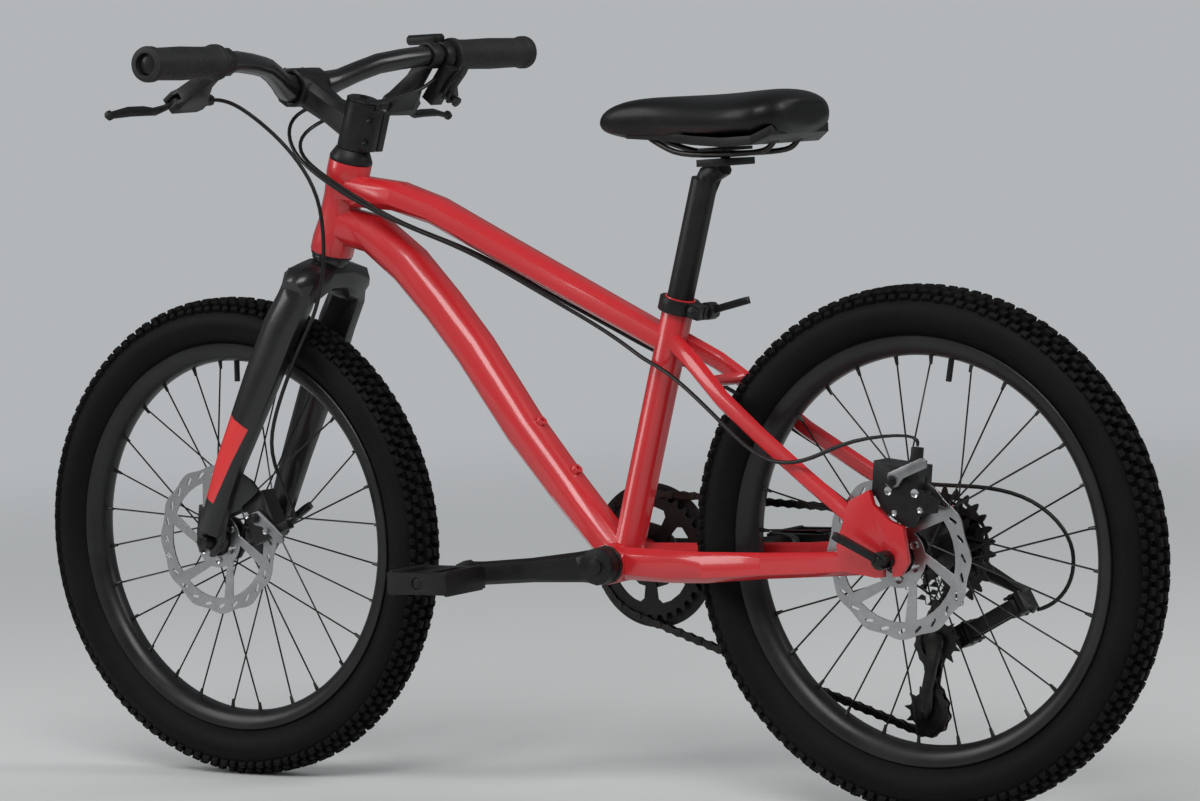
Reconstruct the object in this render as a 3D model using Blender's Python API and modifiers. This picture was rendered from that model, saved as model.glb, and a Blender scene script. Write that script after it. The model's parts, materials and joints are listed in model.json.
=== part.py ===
"""A kids mountain bike with 20 inch wheels, built up from its separate pieces.

Lengths are in metres. +X is forward, +Y is the rider's left and +Z is up. The
origin lies on the ground, midway between the two wheels.
"""

import math

import bmesh
import bpy
from mathutils import Matrix, Vector

MM = 0.001
CLEAR = 0.3 * MM
MERGE = 0.00001

# Main geometry of the bike
WHEELBASE = 854 * MM
WHEEL_RADIUS = 258 * MM
BRACKET_AHEAD_OF_AXLE = 352 * MM
BRACKET_DROP = 17 * MM
SEAT_ANGLE = math.radians(72.9)
SEAT_TUBE_LENGTH = 278 * MM
HEAD_ANGLE = math.radians(71.5)
HEAD_TUBE_LENGTH = 100 * MM
FORK_OFFSET = 41 * MM
FORK_LENGTH = 333 * MM

# Frame tubes
HEAD_TUBE_RADIUS = 23 * MM
HEAD_WAIST_RADIUS = 20.5 * MM
HEAD_BORE_RADIUS = 17 * MM
HEAD_CUP_RADIUS = 20 * MM
HEAD_CUP_DEPTH = 12 * MM
SEAT_TUBE_RADIUS = 15.9 * MM
SEATPOST_RADIUS = 13.6 * MM
SEAT_BORE_RADIUS = SEATPOST_RADIUS + 1.5 * CLEAR
SEAT_BORE_DEPTH = 246 * MM
SHELL_RADIUS = 20.5 * MM
SHELL_WIDTH = 68 * MM
SHELL_BORE_RADIUS = 17.4 * MM
TOP_TUBE_FROM_HEAD_TOP = 30 * MM
TOP_TUBE_UP_SEAT_TUBE = 231 * MM
DOWN_TUBE_UP_HEAD_TUBE = 33 * MM
SEAT_STAY_UP_SEAT_TUBE = 237 * MM
BRIDGE_RADIUS = 6 * MM
BOTTLE_BOSS_SPACING = 64 * MM
BOTTLE_BOSS_RADIUS = 6 * MM
BOTTLE_BOSS_HEIGHT = 3 * MM
BOTTLE_HOLE_RADIUS = 2.5 * MM

# Wheels, for a 406 mm bead seat
BEAD_RADIUS = 203 * MM
RIM_OPENING_RADIUS = 190 * MM
RIM_FLANGE_RADIUS = 209 * MM
RIM_HALF_WIDTH = 16.5 * MM
RIM_WALL = 3 * MM
TYRE_HALF_WIDTH = 26.5 * MM
KNOB_HEIGHT = 6.5 * MM
WHEEL_SIDES = 22
SPOKES = 28
SPOKE_RADIUS = 1.1 * MM
HUB_FLANGE_RADIUS = 26 * MM
SPOKE_CIRCLE_RADIUS = 22 * MM
AXLE_RADIUS = 4.8 * MM
CONE_RADIUS = 8 * MM
SKEWER_RADIUS = 2.5 * MM
FRONT_HUB_WIDTH = 100 * MM
REAR_HUB_WIDTH = 135 * MM
VALVE_RADIUS = 3 * MM
VALVE_TIP_RADIUS = 167 * MM

# Disc brakes
ROTOR_RADIUS = 80 * MM
ROTOR_THICKNESS = 1.8 * MM
FRONT_ROTOR_INSET = 10.5 * MM
REAR_ROTOR_INSET = 15.3 * MM

# Drive
CHAIN_PITCH = 12.7 * MM
CHAINRING_TEETH = 32
COG_TEETH = (28, 24, 21, 18, 15, 13, 11)
DRIVEN_COG = 5
COG_SPACING = 5 * MM
SMALLEST_COG_Y = -60 * MM
PULLEY_TEETH = 11
CHAINRING_Y = -44.5 * MM
CRANK_LENGTH = 152 * MM
CRANK_DROP_ANGLE = math.radians(3.4)
SPINDLE_RADIUS = 8.5 * MM

# Steering and seat
STEERER_RADIUS = 14.3 * MM
STEM_REACH = 80.7 * MM
STEM_RISE = 157.5 * MM
BAR_CLAMP_RADIUS = 15.9 * MM
BAR_GRIP_RADIUS = 11.1 * MM
BAR_HALF_WIDTH = 317 * MM
BAR_RISE = 28 * MM
BAR_SWEEP = 54 * MM
GRIP_LENGTH = 120 * MM
GRIP_RADIUS = 16 * MM
SEATPOST_ABOVE_COLLAR = 122 * MM
SEATPOST_IN_TUBE = 130 * MM

# Points that the rest hangs from
REAR_AXLE = Vector((-WHEELBASE / 2, 0, WHEEL_RADIUS))
FRONT_AXLE = Vector((WHEELBASE / 2, 0, WHEEL_RADIUS))
BRACKET = REAR_AXLE + Vector((BRACKET_AHEAD_OF_AXLE, 0, -BRACKET_DROP))
SEAT_UP = Vector((-math.cos(SEAT_ANGLE), 0, math.sin(SEAT_ANGLE)))
SEAT_TOP = BRACKET + SEAT_TUBE_LENGTH * SEAT_UP
HEAD_UP = Vector((-math.cos(HEAD_ANGLE), 0, math.sin(HEAD_ANGLE)))
HEAD_AHEAD = Vector((math.sin(HEAD_ANGLE), 0, math.cos(HEAD_ANGLE)))
HEAD_LOW = FRONT_AXLE + FORK_LENGTH * HEAD_UP - FORK_OFFSET * HEAD_AHEAD
HEAD_TOP = HEAD_LOW + HEAD_TUBE_LENGTH * HEAD_UP
HEAD_TILT = HEAD_ANGLE - math.pi / 2
SEAT_TILT = SEAT_ANGLE - math.pi / 2
LEFT = Vector((0, 1, 0))
SIDEWAYS = (math.pi / 2, 0, 0)

# Colour, roughness and metallic value of each finish
FINISHES = {
    "red paint": ((0.72, 0.02, 0.03), 0.3, 0.1),
    "black paint": ((0.012, 0.012, 0.014), 0.35, 0.1),
    "black alloy": ((0.02, 0.02, 0.022), 0.4, 0.6),
    "tyre rubber": ((0.015, 0.015, 0.015), 0.8, 0.0),
    "grip rubber": ((0.05, 0.05, 0.052), 0.75, 0.0),
    "tube rubber": ((0.02, 0.02, 0.02), 0.6, 0.0),
    "brushed steel": ((0.62, 0.62, 0.63), 0.3, 1.0),
    "dark steel": ((0.06, 0.06, 0.065), 0.35, 0.9),
    "grey alloy": ((0.25, 0.25, 0.26), 0.4, 0.8),
    "black plastic": ((0.018, 0.018, 0.02), 0.5, 0.0),
    "saddle vinyl": ((0.012, 0.012, 0.013), 0.4, 0.0),
    "cable housing": ((0.01, 0.01, 0.01), 0.45, 0.0),
}


def clear_scene():
    for obj in list(bpy.data.objects):
        bpy.data.objects.remove(obj, do_unlink=True)


def new_collection(name):
    group = bpy.data.collections.new(name)
    bpy.context.scene.collection.children.link(group)
    return group


clear_scene()
BIKE = new_collection("kids_mountain_bike")
CUTTERS = new_collection("cutters")


def add_object(name, data, axis=None, at=(0, 0, 0), turn=(0, 0, 0)):
    """Links an object to the bike, placed under the empty that it moves with."""
    obj = bpy.data.objects.new(name, data)
    BIKE.objects.link(obj)
    obj.parent = axis
    obj.location = at
    obj.rotation_euler = turn
    return obj


def empty(name, at, turn=(0, 0, 0), axis=None):
    obj = add_object(name, None, axis, at, turn)
    obj.empty_display_size = 0.03
    return obj


def finish(obj, kind):
    """Gives a piece its own material and smooth shading up to a crease angle."""
    colour, roughness, metallic = FINISHES[kind]
    made = bpy.data.materials.new(obj.name + " " + kind)
    made.use_nodes = True
    shader = made.node_tree.nodes["Principled BSDF"]
    shader.inputs["Base Color"].default_value = (*colour, 1)
    shader.inputs["Roughness"].default_value = roughness
    shader.inputs["Metallic"].default_value = metallic
    obj.data.materials.clear()
    obj.data.materials.append(made)
    if obj.type == "MESH":
        obj.data.shade_smooth()
        obj.data.set_sharp_from_angle(angle=math.radians(35))
    return obj


def set_aside(obj, group=None):
    """Makes an object a helper of a Boolean: out of the render, drawn as wire."""
    BIKE.objects.unlink(obj)
    (group or CUTTERS).objects.link(obj)
    obj.hide_render = True
    obj.display_type = "WIRE"


def boolean(obj, others, operation):
    for other in others:
        set_aside(other)
        step = obj.modifiers.new(other.name, "BOOLEAN")
        step.operation = operation
        step.object = other
        step.solver = "EXACT"
    return obj


def unite(obj, *others):
    return boolean(obj, others, "UNION")


def cut(obj, *others):
    return boolean(obj, others, "DIFFERENCE")


def object_from(bm, name, axis, at, turn):
    bmesh.ops.recalc_face_normals(bm, faces=bm.faces)
    mesh = bpy.data.meshes.new(name)
    bm.to_mesh(mesh)
    bm.free()
    return add_object(name, mesh, axis, at, turn)


def box(name, size, axis=None, at=(0, 0, 0), turn=(0, 0, 0), bevel=0):
    bm = bmesh.new()
    bmesh.ops.create_cube(bm, size=1, matrix=Matrix.Diagonal((*size, 1)))
    obj = object_from(bm, name, axis, at, turn)
    if bevel:
        rounded = obj.modifiers.new("rounded edges", "BEVEL")
        rounded.width = bevel
        rounded.segments = 1
    return obj


def rod(name, radius, length, sides, axis=None, at=(0, 0, 0), turn=(0, 0, 0), tip=None):
    """A cylinder centred on its place, along its local Z. A tip radius makes it a taper."""
    bm = bmesh.new()
    bmesh.ops.create_cone(
        bm,
        cap_ends=True,
        segments=sides,
        radius1=radius,
        radius2=radius if tip is None else tip,
        depth=length,
    )
    return object_from(bm, name, axis, at, turn)


def rod_between(name, start, end, radius, sides, axis=None, tip=None):
    start, end = Vector(start), Vector(end)
    along = end - start
    turn = along.to_track_quat("Z", "Y").to_euler()
    return rod(name, radius, along.length, sides, axis, (start + end) / 2, turn, tip)


def turned(name, profile, steps, axis=None, at=(0, 0, 0), turn=(0, 0, 0), ring=False):
    """Turns (radius, height) points about local Z. They run down the outer side."""
    mesh = bpy.data.meshes.new(name)
    edges = [(i, i + 1) for i in range(len(profile) - 1)]
    if ring:
        edges.append((len(profile) - 1, 0))
    mesh.from_pydata([(r, 0, z) for r, z in profile], edges, [])
    obj = add_object(name, mesh, axis, at, turn)
    screw = obj.modifiers.new("turn", "SCREW")
    screw.axis = "Z"
    screw.steps = steps
    screw.render_steps = steps
    screw.use_merge_vertices = True
    screw.merge_threshold = MERGE
    return obj


def smooth_path(points, per_span):
    """Points along a Catmull-Rom curve through the given ones."""
    points = [Vector(p) for p in points]
    ends = [2 * points[0] - points[1], *points, 2 * points[-1] - points[-2]]
    path = []
    for a, b, c, d in zip(ends, ends[1:], ends[2:], ends[3:]):
        for i in range(per_span):
            t = i / per_span
            path.append(
                0.5
                * (
                    2 * b
                    + (c - a) * t
                    + (2 * a - 5 * b + 4 * c - d) * t**2
                    + (3 * b - a - 3 * c + d) * t**3
                )
            )
    return [*path, points[-1]]


def tube(name, points, radius, detail=2, axis=None, at=(0, 0, 0), radii=None):
    """A round bar along points, as a curve with filled caps."""
    curve = bpy.data.curves.new(name, "CURVE")
    curve.dimensions = "3D"
    curve.bevel_depth = radius
    curve.bevel_resolution = detail
    curve.use_fill_caps = True
    spline = curve.splines.new("POLY")
    spline.points.add(len(points) - 1)
    for i, point in enumerate(points):
        spline.points[i].co = (*point, 1)
        spline.points[i].radius = radii[i] / radius if radii else 1
    return add_object(name, curve, axis, at)


def as_mesh(obj):
    """The same shape as a welded mesh object, which a Boolean can use."""
    bpy.context.view_layer.update()
    graph = bpy.context.evaluated_depsgraph_get()
    mesh = bpy.data.meshes.new_from_object(obj.evaluated_get(graph))
    bm = bmesh.new()
    bm.from_mesh(mesh)
    bmesh.ops.remove_doubles(bm, verts=bm.verts, dist=MERGE)
    bm.to_mesh(mesh)
    bm.free()
    name, axis, place = obj.name, obj.parent, obj.matrix_world.copy()
    bpy.data.objects.remove(obj, do_unlink=True)
    made = add_object(name, mesh, axis)
    made.matrix_world = place
    return made


def plate(name, outlines, thickness, axis=None, at=(0, 0, 0), turn=SIDEWAYS):
    """A flat outline, with any holes as further outlines, given a thickness."""
    curve = bpy.data.curves.new(name, "CURVE")
    curve.dimensions = "2D"
    curve.fill_mode = "BOTH"
    curve.extrude = thickness / 2
    for outline in outlines:
        spline = curve.splines.new("POLY")
        spline.points.add(len(outline) - 1)
        spline.use_cyclic_u = True
        for i, (x, y) in enumerate(outline):
            spline.points[i].co = (x, y, 0, 1)
    return as_mesh(add_object(name, curve, axis, at, turn))


def circle(radius, sides, centre=(0, 0), phase=0.0):
    return [
        (
            centre[0] + radius * math.cos(phase + math.tau * i / sides),
            centre[1] + radius * math.sin(phase + math.tau * i / sides),
        )
        for i in range(sides)
    ]


def oval(width, depth, sides, squareness):
    """A ring of points between an ellipse, at squareness 2, and a rounded box."""
    ring = []
    for i in range(sides):
        angle = math.tau * (i + 0.5) / sides
        across, up = math.cos(angle), math.sin(angle)
        ring.append(
            (
                math.copysign(abs(across) ** (2 / squareness), across) * width / 2,
                math.copysign(abs(up) ** (2 / squareness), up) * depth / 2,
            )
        )
    return ring


def loft(name, stations, sides, axis=None, side=LEFT, squareness=2.4, up=None):
    """A formed tube through stations of (centre, width, depth), capped at its ends.

    The width lies along the side direction, square to the run of the tube. Given an
    up direction, every section stands upright instead.
    """
    bm = bmesh.new()
    centres = [Vector(centre) for centre, _, _ in stations]
    rings = []
    for i, (_, width, depth) in enumerate(stations):
        run = centres[min(i + 1, len(centres) - 1)] - centres[max(i - 1, 0)]
        across = (side - run * side.dot(run) / run.length_squared).normalized()
        rise = up or run.cross(across).normalized()
        rings.append(
            [
                bm.verts.new(centres[i] + across * x + rise * y)
                for x, y in oval(width, depth, sides, squareness)
            ]
        )
    for low, high in zip(rings, rings[1:]):
        for i in range(sides):
            j = (i + 1) % sides
            bm.faces.new((low[i], low[j], high[j], high[i]))
    bm.faces.new(rings[0])
    bm.faces.new(rings[-1])
    return object_from(bm, name, axis, (0, 0, 0), (0, 0, 0))


def frame_of(name, at, x_axis, y_axis, axis=None):
    """An empty whose local X and Y lie along two given directions."""
    x_axis = Vector(x_axis).normalized()
    y_axis = Vector(y_axis).normalized()
    columns = Matrix((x_axis, y_axis, x_axis.cross(y_axis))).transposed()
    return empty(name, at, columns.to_euler(), axis)


def slot_outline(radius, length, sides=8):
    """A slot that is round at the top and open at the bottom."""
    arc = [
        (radius * math.cos(math.pi * i / sides), radius * math.sin(math.pi * i / sides))
        for i in range(sides + 1)
    ]
    return [*arc, (-radius, -length), (radius, -length)]



def along_arch(start, end, arch):
    """Points on a chord from start to end, each raised square to it in the XZ plane."""
    chord = end - start
    raised = Vector((chord.z, 0, -chord.x)).normalized()
    return [start + chord * share + raised * rise for share, rise in arch]


def stay_path(start, end, stations, sign):
    """Stations of (share, side offset, drop, width, depth) from start to end."""
    made = []
    for share, offset, drop, width, depth in stations:
        centre = start + (end - start) * share + Vector((0, sign * offset, -drop))
        made.append((centre, width, depth))
    return made


def main_tubes():
    """Head tube, formed top and down tubes, seat tube and bracket shell, joined."""
    head = turned(
        "frame",
        [
            (0, HEAD_TUBE_LENGTH),
            (HEAD_TUBE_RADIUS, HEAD_TUBE_LENGTH),
            (HEAD_TUBE_RADIUS, HEAD_TUBE_LENGTH - 14 * MM),
            (HEAD_WAIST_RADIUS, HEAD_TUBE_LENGTH * 0.62),
            (HEAD_WAIST_RADIUS, HEAD_TUBE_LENGTH * 0.34),
            (HEAD_TUBE_RADIUS, 14 * MM),
            (HEAD_TUBE_RADIUS, 0),
            (0, 0),
        ],
        12,
        at=HEAD_LOW,
        turn=(0, HEAD_TILT, 0),
    )
    top_start = HEAD_TOP - TOP_TUBE_FROM_HEAD_TOP * HEAD_UP
    top_end = BRACKET + TOP_TUBE_UP_SEAT_TUBE * SEAT_UP
    top_arch = along_arch(
        top_start,
        top_end,
        [
            (0.0, 0),
            (0.08, 8.5 * MM),
            (0.16, 18 * MM),
            (0.28, 21.5 * MM),
            (0.5, 14.5 * MM),
            (1.0, 0),
        ],
    )
    top_sizes = [(40, 34), (40, 33), (40, 31), (39, 29), (36, 28), (30, 26)]
    top_tube = loft(
        "top tube",
        [(p, w * MM, d * MM) for p, (w, d) in zip(top_arch, top_sizes)],
        8,
        squareness=2.8,
    )
    down_start = HEAD_LOW + DOWN_TUBE_UP_HEAD_TUBE * HEAD_UP
    down_arch = along_arch(
        down_start,
        BRACKET,
        [
            (0.01, 2 * MM),
            (0.09, 26 * MM),
            (0.2, 33.5 * MM),
            (0.32, 32 * MM),
            (0.44, 27 * MM),
            (0.64, 11 * MM),
            (0.8, 4.5 * MM),
            (1.0, 0),
        ],
    )
    down_sizes = [(38, 40), (42, 42), (45, 42), (46, 41), (46, 41), (45, 40), (44, 38), (44, 34)]
    down_tube = loft(
        "down tube",
        [(p, w * MM, d * MM) for p, (w, d) in zip(down_arch, down_sizes)],
        8,
        squareness=2.6,
    )
    seat_tube = rod_between("seat tube", BRACKET, SEAT_TOP, SEAT_TUBE_RADIUS, 14)
    shell = rod("bracket shell", SHELL_RADIUS, SHELL_WIDTH, 12, at=BRACKET, turn=SIDEWAYS)
    unite(head, top_tube, down_tube, seat_tube, shell)
    return bottle_bosses(head, down_arch[5], down_arch[6], down_sizes[5][1] * MM / 2)


def bottle_bosses(frame, start, end, rise):
    """Two threaded bosses on the straight part of the down tube, on its upper side."""
    run = (end - start).normalized()
    up = Vector((run.z, 0, -run.x))
    places = [(start + end) / 2 + run * side * BOTTLE_BOSS_SPACING / 2 for side in (-1, 1)]
    face = rise + BOTTLE_BOSS_HEIGHT
    bosses = [
        rod_between(f"boss {i + 1}", p + up * 12 * MM, p + up * face, BOTTLE_BOSS_RADIUS, 8)
        for i, p in enumerate(places)
    ]
    holes = [
        rod_between(
            f"boss hole {i + 1}", p + up * 14 * MM, p + up * (face + 5 * MM), BOTTLE_HOLE_RADIUS, 6
        )
        for i, p in enumerate(places)
    ]
    unite(frame, *bosses)
    return cut(frame, *holes)


DROPOUT_THICKNESS = 6 * MM
LEFT_DROPOUT = [
    (56, 12), (40, 55), (17, 66), (13, 52), (-4, 37), (-19, 31), (-23, -3), (-14, -16), (14, -18),
    (52, -12),
]
RIGHT_DROPOUT = [(56, 12), (42, 50), (26, 50), (-14, 12), (-17, -4), (-10, -17), (52, -12)]


def rear_triangle(frame):
    """Chain stays, seat stays, their bridge and the two dropout plates."""
    stay_low = BRACKET + Vector((-10 * MM, 0, 0))
    dropout_y = REAR_HUB_WIDTH / 2 + DROPOUT_THICKNESS / 2
    stay_top = BRACKET + SEAT_STAY_UP_SEAT_TUBE * SEAT_UP
    stay_foot = REAR_AXLE + Vector((38 * MM, 0, 36 * MM))
    low_stations = [
        (0.0, 20 * MM, 0, 18 * MM, 33 * MM),
        (0.2, 32.5 * MM, 4 * MM, 15 * MM, 33 * MM),
        (0.33, 42.5 * MM, 5 * MM, 14 * MM, 31 * MM),
        (0.54, 45 * MM, 5 * MM, 14 * MM, 26 * MM),
        (0.75, 61.5 * MM, 4 * MM, 13 * MM, 24 * MM),
        (0.9, dropout_y - 3 * MM, 3 * MM, 12 * MM, 24 * MM),
    ]
    high_stations = [
        (0.0, 6 * MM, 0, 14 * MM, 20 * MM),
        (0.16, 22 * MM, -2 * MM, 14 * MM, 20 * MM),
        (0.33, 37 * MM, 3 * MM, 13 * MM, 19 * MM),
        (0.52, 43 * MM, 6 * MM, 13 * MM, 18 * MM),
        (0.76, 54 * MM, 4 * MM, 13 * MM, 18 * MM),
        (0.91, 62 * MM, 1 * MM, 13 * MM, 18 * MM),
        (1.0, dropout_y - 3 * MM, 0, 12 * MM, 18 * MM),
    ]
    pieces = []
    for side, sign, outline in (("left", 1, LEFT_DROPOUT), ("right", -1, RIGHT_DROPOUT)):
        low = stay_path(stay_low, REAR_AXLE, low_stations, sign)
        high = stay_path(stay_top, stay_foot, high_stations, sign)
        pieces.append(loft(side + " chain stay", low, 6, squareness=3))
        pieces.append(loft(side + " seat stay", high, 6, squareness=2.4))
        pieces.append(
            plate(
                side + " dropout",
                [[(x * MM, z * MM) for x, z in outline]],
                DROPOUT_THICKNESS,
                at=REAR_AXLE + Vector((0, sign * dropout_y, 0)),
            )
        )
    bridge_share = 0.25
    bridge_at = stay_top + (stay_foot - stay_top) * bridge_share
    pieces.append(rod("stay bridge", BRIDGE_RADIUS, 60 * MM, 8, at=bridge_at, turn=SIDEWAYS))
    return unite(frame, *pieces)


def head_bore():
    length = HEAD_TUBE_LENGTH
    return turned(
        "head bore",
        [
            (0, length + 5 * MM),
            (HEAD_CUP_RADIUS, length + 5 * MM),
            (HEAD_CUP_RADIUS, length - HEAD_CUP_DEPTH),
            (HEAD_BORE_RADIUS, length - HEAD_CUP_DEPTH),
            (HEAD_BORE_RADIUS, HEAD_CUP_DEPTH),
            (HEAD_CUP_RADIUS, HEAD_CUP_DEPTH),
            (HEAD_CUP_RADIUS, -5 * MM),
            (0, -5 * MM),
        ],
        12,
        at=HEAD_LOW,
        turn=(0, HEAD_TILT, 0),
    )


def frame_bores(frame):
    post_bore = rod_between(
        "seatpost bore",
        SEAT_TOP - SEAT_BORE_DEPTH * SEAT_UP,
        SEAT_TOP + 5 * MM * SEAT_UP,
        SEAT_BORE_RADIUS,
        14,
    )
    shell_bore = rod(
        "shell bore", SHELL_BORE_RADIUS, SHELL_WIDTH + 10 * MM, 12, at=BRACKET, turn=SIDEWAYS
    )
    slot = plate(
        "rear slot",
        [slot_outline(AXLE_RADIUS + CLEAR, 40 * MM)],
        REAR_HUB_WIDTH + 4 * DROPOUT_THICKNESS,
        at=REAR_AXLE,
    )
    return cut(frame, head_bore(), post_bore, shell_bore, slot)


def make_frame():
    frame = main_tubes()
    rear_triangle(frame)
    frame_bores(frame)
    return finish(frame, "red paint")


def fork_stations(sign):
    """Blade stations of (forward, across, up) with thickness and chord."""
    data = [
        (0, 39, -21, 26, 38), (1, 44, -50, 26, 42), (9, 47, -83, 26, 44),
        (17, 51, -140, 26, 43), (32, 56, -240, 23, 34), (40, 57, -322, 19, 28),
    ]
    return [
        (Vector((a, sign * b, c)) * MM, thick * MM, chord * MM)
        for a, b, c, thick, chord in data
    ]


FORK_DROPOUT = [(22, 34), (-15, 34), (-17, 6), (-9, -15), (9, -15), (17, 2)]
CALIPER_TAB = [(24, -248), (4, -252), (-8, -259), (-1, -270), (8, -281), (14, -290), (26, -298)]


def make_fork():
    """Steerer, crown and both blades, with dropouts and the caliper tab."""
    steerer = turned(
        "fork",
        [
            (0, 163 * MM),
            (STEERER_RADIUS, 163 * MM),
            (STEERER_RADIUS, -3.6 * MM),
            (20 * MM, -3.6 * MM),
            (20 * MM, -8 * MM),
            (17 * MM, -8 * MM),
            (17 * MM, -28 * MM),
            (0, -28 * MM),
        ],
        12,
        axis=STEERING,
    )
    crown_data = [
        (-52, -1, -42, 30, 34), (-42, -1, -35, 44, 44), (-16, 0, -24, 47, 32),
        (16, 0, -24, 47, 32), (42, -1, -35, 44, 44), (52, -1, -42, 30, 34),
    ]
    crown = loft(
        "crown",
        [(Vector((a, b, c)) * MM, w * MM, d * MM) for b, a, c, w, d in crown_data],
        8,
        STEERING,
        side=Vector((1, 0, 0)),
        squareness=2.8,
    )
    pieces = [crown]
    axle = Vector((FORK_OFFSET, 0, -FORK_LENGTH))
    for side, sign in (("left", 1), ("right", -1)):
        pieces.append(loft(side + " blade", fork_stations(sign), 8, STEERING, squareness=2.5))
        pieces.append(
            plate(
                side + " fork dropout",
                [[(a * MM, c * MM) for a, c in FORK_DROPOUT]],
                DROPOUT_THICKNESS,
                STEERING,
                axle + Vector((0, sign * (FRONT_HUB_WIDTH / 2 + DROPOUT_THICKNESS / 2), 0)),
            )
        )
    tab = [(a * MM, c * MM) for a, c in CALIPER_TAB]
    pieces.append(plate("caliper tab", [tab], 4 * MM, STEERING, (0, 51 * MM, 0)))
    unite(steerer, *pieces)
    slot = plate(
        "front slot",
        [slot_outline(AXLE_RADIUS + CLEAR, 40 * MM)],
        FRONT_HUB_WIDTH + 4 * DROPOUT_THICKNESS,
        STEERING,
        axle,
    )
    return finish(cut(steerer, slot), "black paint")


def make_headset():
    length = HEAD_TUBE_LENGTH
    race = HEAD_CUP_RADIUS - 2 * CLEAR
    bore = STEERER_RADIUS + 3 * CLEAR
    lower = turned(
        "headset_lower",
        [
            (bore, 11 * MM), (race, 11 * MM), (race, -0.3 * MM), (22 * MM, -0.3 * MM),
            (22 * MM, -3.3 * MM), (bore, -3.3 * MM),
        ],
        12,
        at=HEAD_LOW,
        turn=(0, HEAD_TILT, 0),
        ring=True,
    )
    upper = turned(
        "headset_upper",
        [
            (bore, length + 14 * MM), (18 * MM, length + 14 * MM), (23 * MM, length + 4 * MM),
            (23 * MM, length + 0.3 * MM), (race, length + 0.3 * MM), (race, length - 11 * MM),
            (bore, length - 11 * MM),
        ],
        12,
        at=HEAD_LOW,
        turn=(0, HEAD_TILT, 0),
        ring=True,
    )
    return finish(lower, "black alloy"), finish(upper, "black alloy")


BAR_AT_STEERING = Vector((STEM_REACH, 0, STEM_RISE))


def make_stem():
    """The clamp on the steerer, the arm and the rear half of the bar clamp."""
    clamp_mid = 140 * MM
    clamp = turned(
        "stem",
        [(0, 165 * MM), (17.5 * MM, 165 * MM), (17.5 * MM, 114.5 * MM), (0, 114.5 * MM)],
        12,
        axis=STEERING,
    )
    arm = loft(
        "stem arm",
        [
            (Vector((5, 0, 139)) * MM, 30 * MM, 36 * MM),
            (Vector((35, 0, 145)) * MM, 27 * MM, 30 * MM),
            (Vector((76, 0, 156.5)) * MM, 36 * MM, 34 * MM),
        ],
        8,
        STEERING,
        squareness=2.8,
    )
    bar_half = rod("bar clamp", 21 * MM, 44 * MM, 12, STEERING, BAR_AT_STEERING, SIDEWAYS)
    ears = box(
        "pinch ears", (20 * MM, 22 * MM, 42 * MM), STEERING, (-20 * MM, 0, clamp_mid)
    )
    unite(clamp, arm, bar_half, ears)
    steerer_bore = rod(
        "steerer bore", STEERER_RADIUS + 1.5 * CLEAR, 60 * MM, 12, STEERING, (0, 0, clamp_mid)
    )
    slit = box("pinch slit", (24 * MM, 2 * MM, 60 * MM), STEERING, (-24 * MM, 0, clamp_mid))
    front = box(
        "faceplate room",
        (30 * MM, 60 * MM, 60 * MM),
        STEERING,
        BAR_AT_STEERING + Vector((15.5 * MM, 0, 0)),
    )
    bar_bore = rod(
        "bar bore", BAR_CLAMP_RADIUS + 2 * CLEAR, 60 * MM, 12, STEERING, BAR_AT_STEERING, SIDEWAYS
    )
    cut(clamp, steerer_bore, slit, front, bar_bore)
    return finish(clamp, "black alloy")


def make_faceplate():
    plate_half = rod("stem_faceplate", 21 * MM, 44 * MM, 12, STEERING, BAR_AT_STEERING, SIDEWAYS)
    rear = box(
        "stem room",
        (50 * MM, 60 * MM, 60 * MM),
        STEERING,
        BAR_AT_STEERING - Vector((24.5 * MM, 0, 0)),
    )
    bore = rod(
        "faceplate bore",
        BAR_CLAMP_RADIUS + 2 * CLEAR,
        60 * MM,
        12,
        STEERING,
        BAR_AT_STEERING,
        SIDEWAYS,
    )
    cut(plate_half, rear, bore)
    return finish(plate_half, "black alloy")


def make_top_cap():
    cap = turned(
        "stem_top_cap",
        [
            (0, 169.5 * MM), (15 * MM, 169.5 * MM),
            (17.5 * MM, 168 * MM), (17.5 * MM, 165.3 * MM), (12 * MM, 165.3 * MM),
            (12 * MM, 163.3 * MM), (0, 163.3 * MM),
        ],
        12,
        axis=STEERING,
    )
    return finish(cap, "black alloy")


# Where the straight ends of the bar start and finish, from the middle of its clamp
BAR_BEND = Vector((-43.5 * MM, 158 * MM, BAR_RISE))
BAR_END = Vector((-BAR_SWEEP - 6 * MM, BAR_HALF_WIDTH, BAR_RISE))
BAR_RUN = (BAR_END - BAR_BEND).normalized()


def on_bar(distance, sign):
    """The point of the bar's straight part at this distance from the middle plane."""
    point = BAR_BEND + BAR_RUN * (distance - BAR_BEND.y) / BAR_RUN.y
    return Vector((point.x, sign * point.y, point.z))


def bar_direction(sign):
    return Vector((BAR_RUN.x, sign * BAR_RUN.y, BAR_RUN.z))


def make_handlebar():
    half = [
        Vector(p) * MM
        for p in ((0, 0, 0), (0, 25, 0), (-10, 50, 6.5), (-28, 95, 21.5))
    ]
    half = [half[0], *smooth_path([*half[1:], BAR_BEND], 2), BAR_END]
    points = [Vector((p.x, -p.y, p.z)) for p in reversed(half[1:])] + half
    radii = []
    for p in points:
        share = min(1, max(0, (abs(p.y) - 25 * MM) / (28 * MM)))
        radii.append(BAR_CLAMP_RADIUS + (BAR_GRIP_RADIUS - BAR_CLAMP_RADIUS) * share)
    bar = tube("handlebar", points, BAR_GRIP_RADIUS, 2, COCKPIT, radii=radii)
    return finish(bar, "black paint")


def bar_turn(sign):
    return bar_direction(sign).to_track_quat("Z", "X").to_euler()


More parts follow.
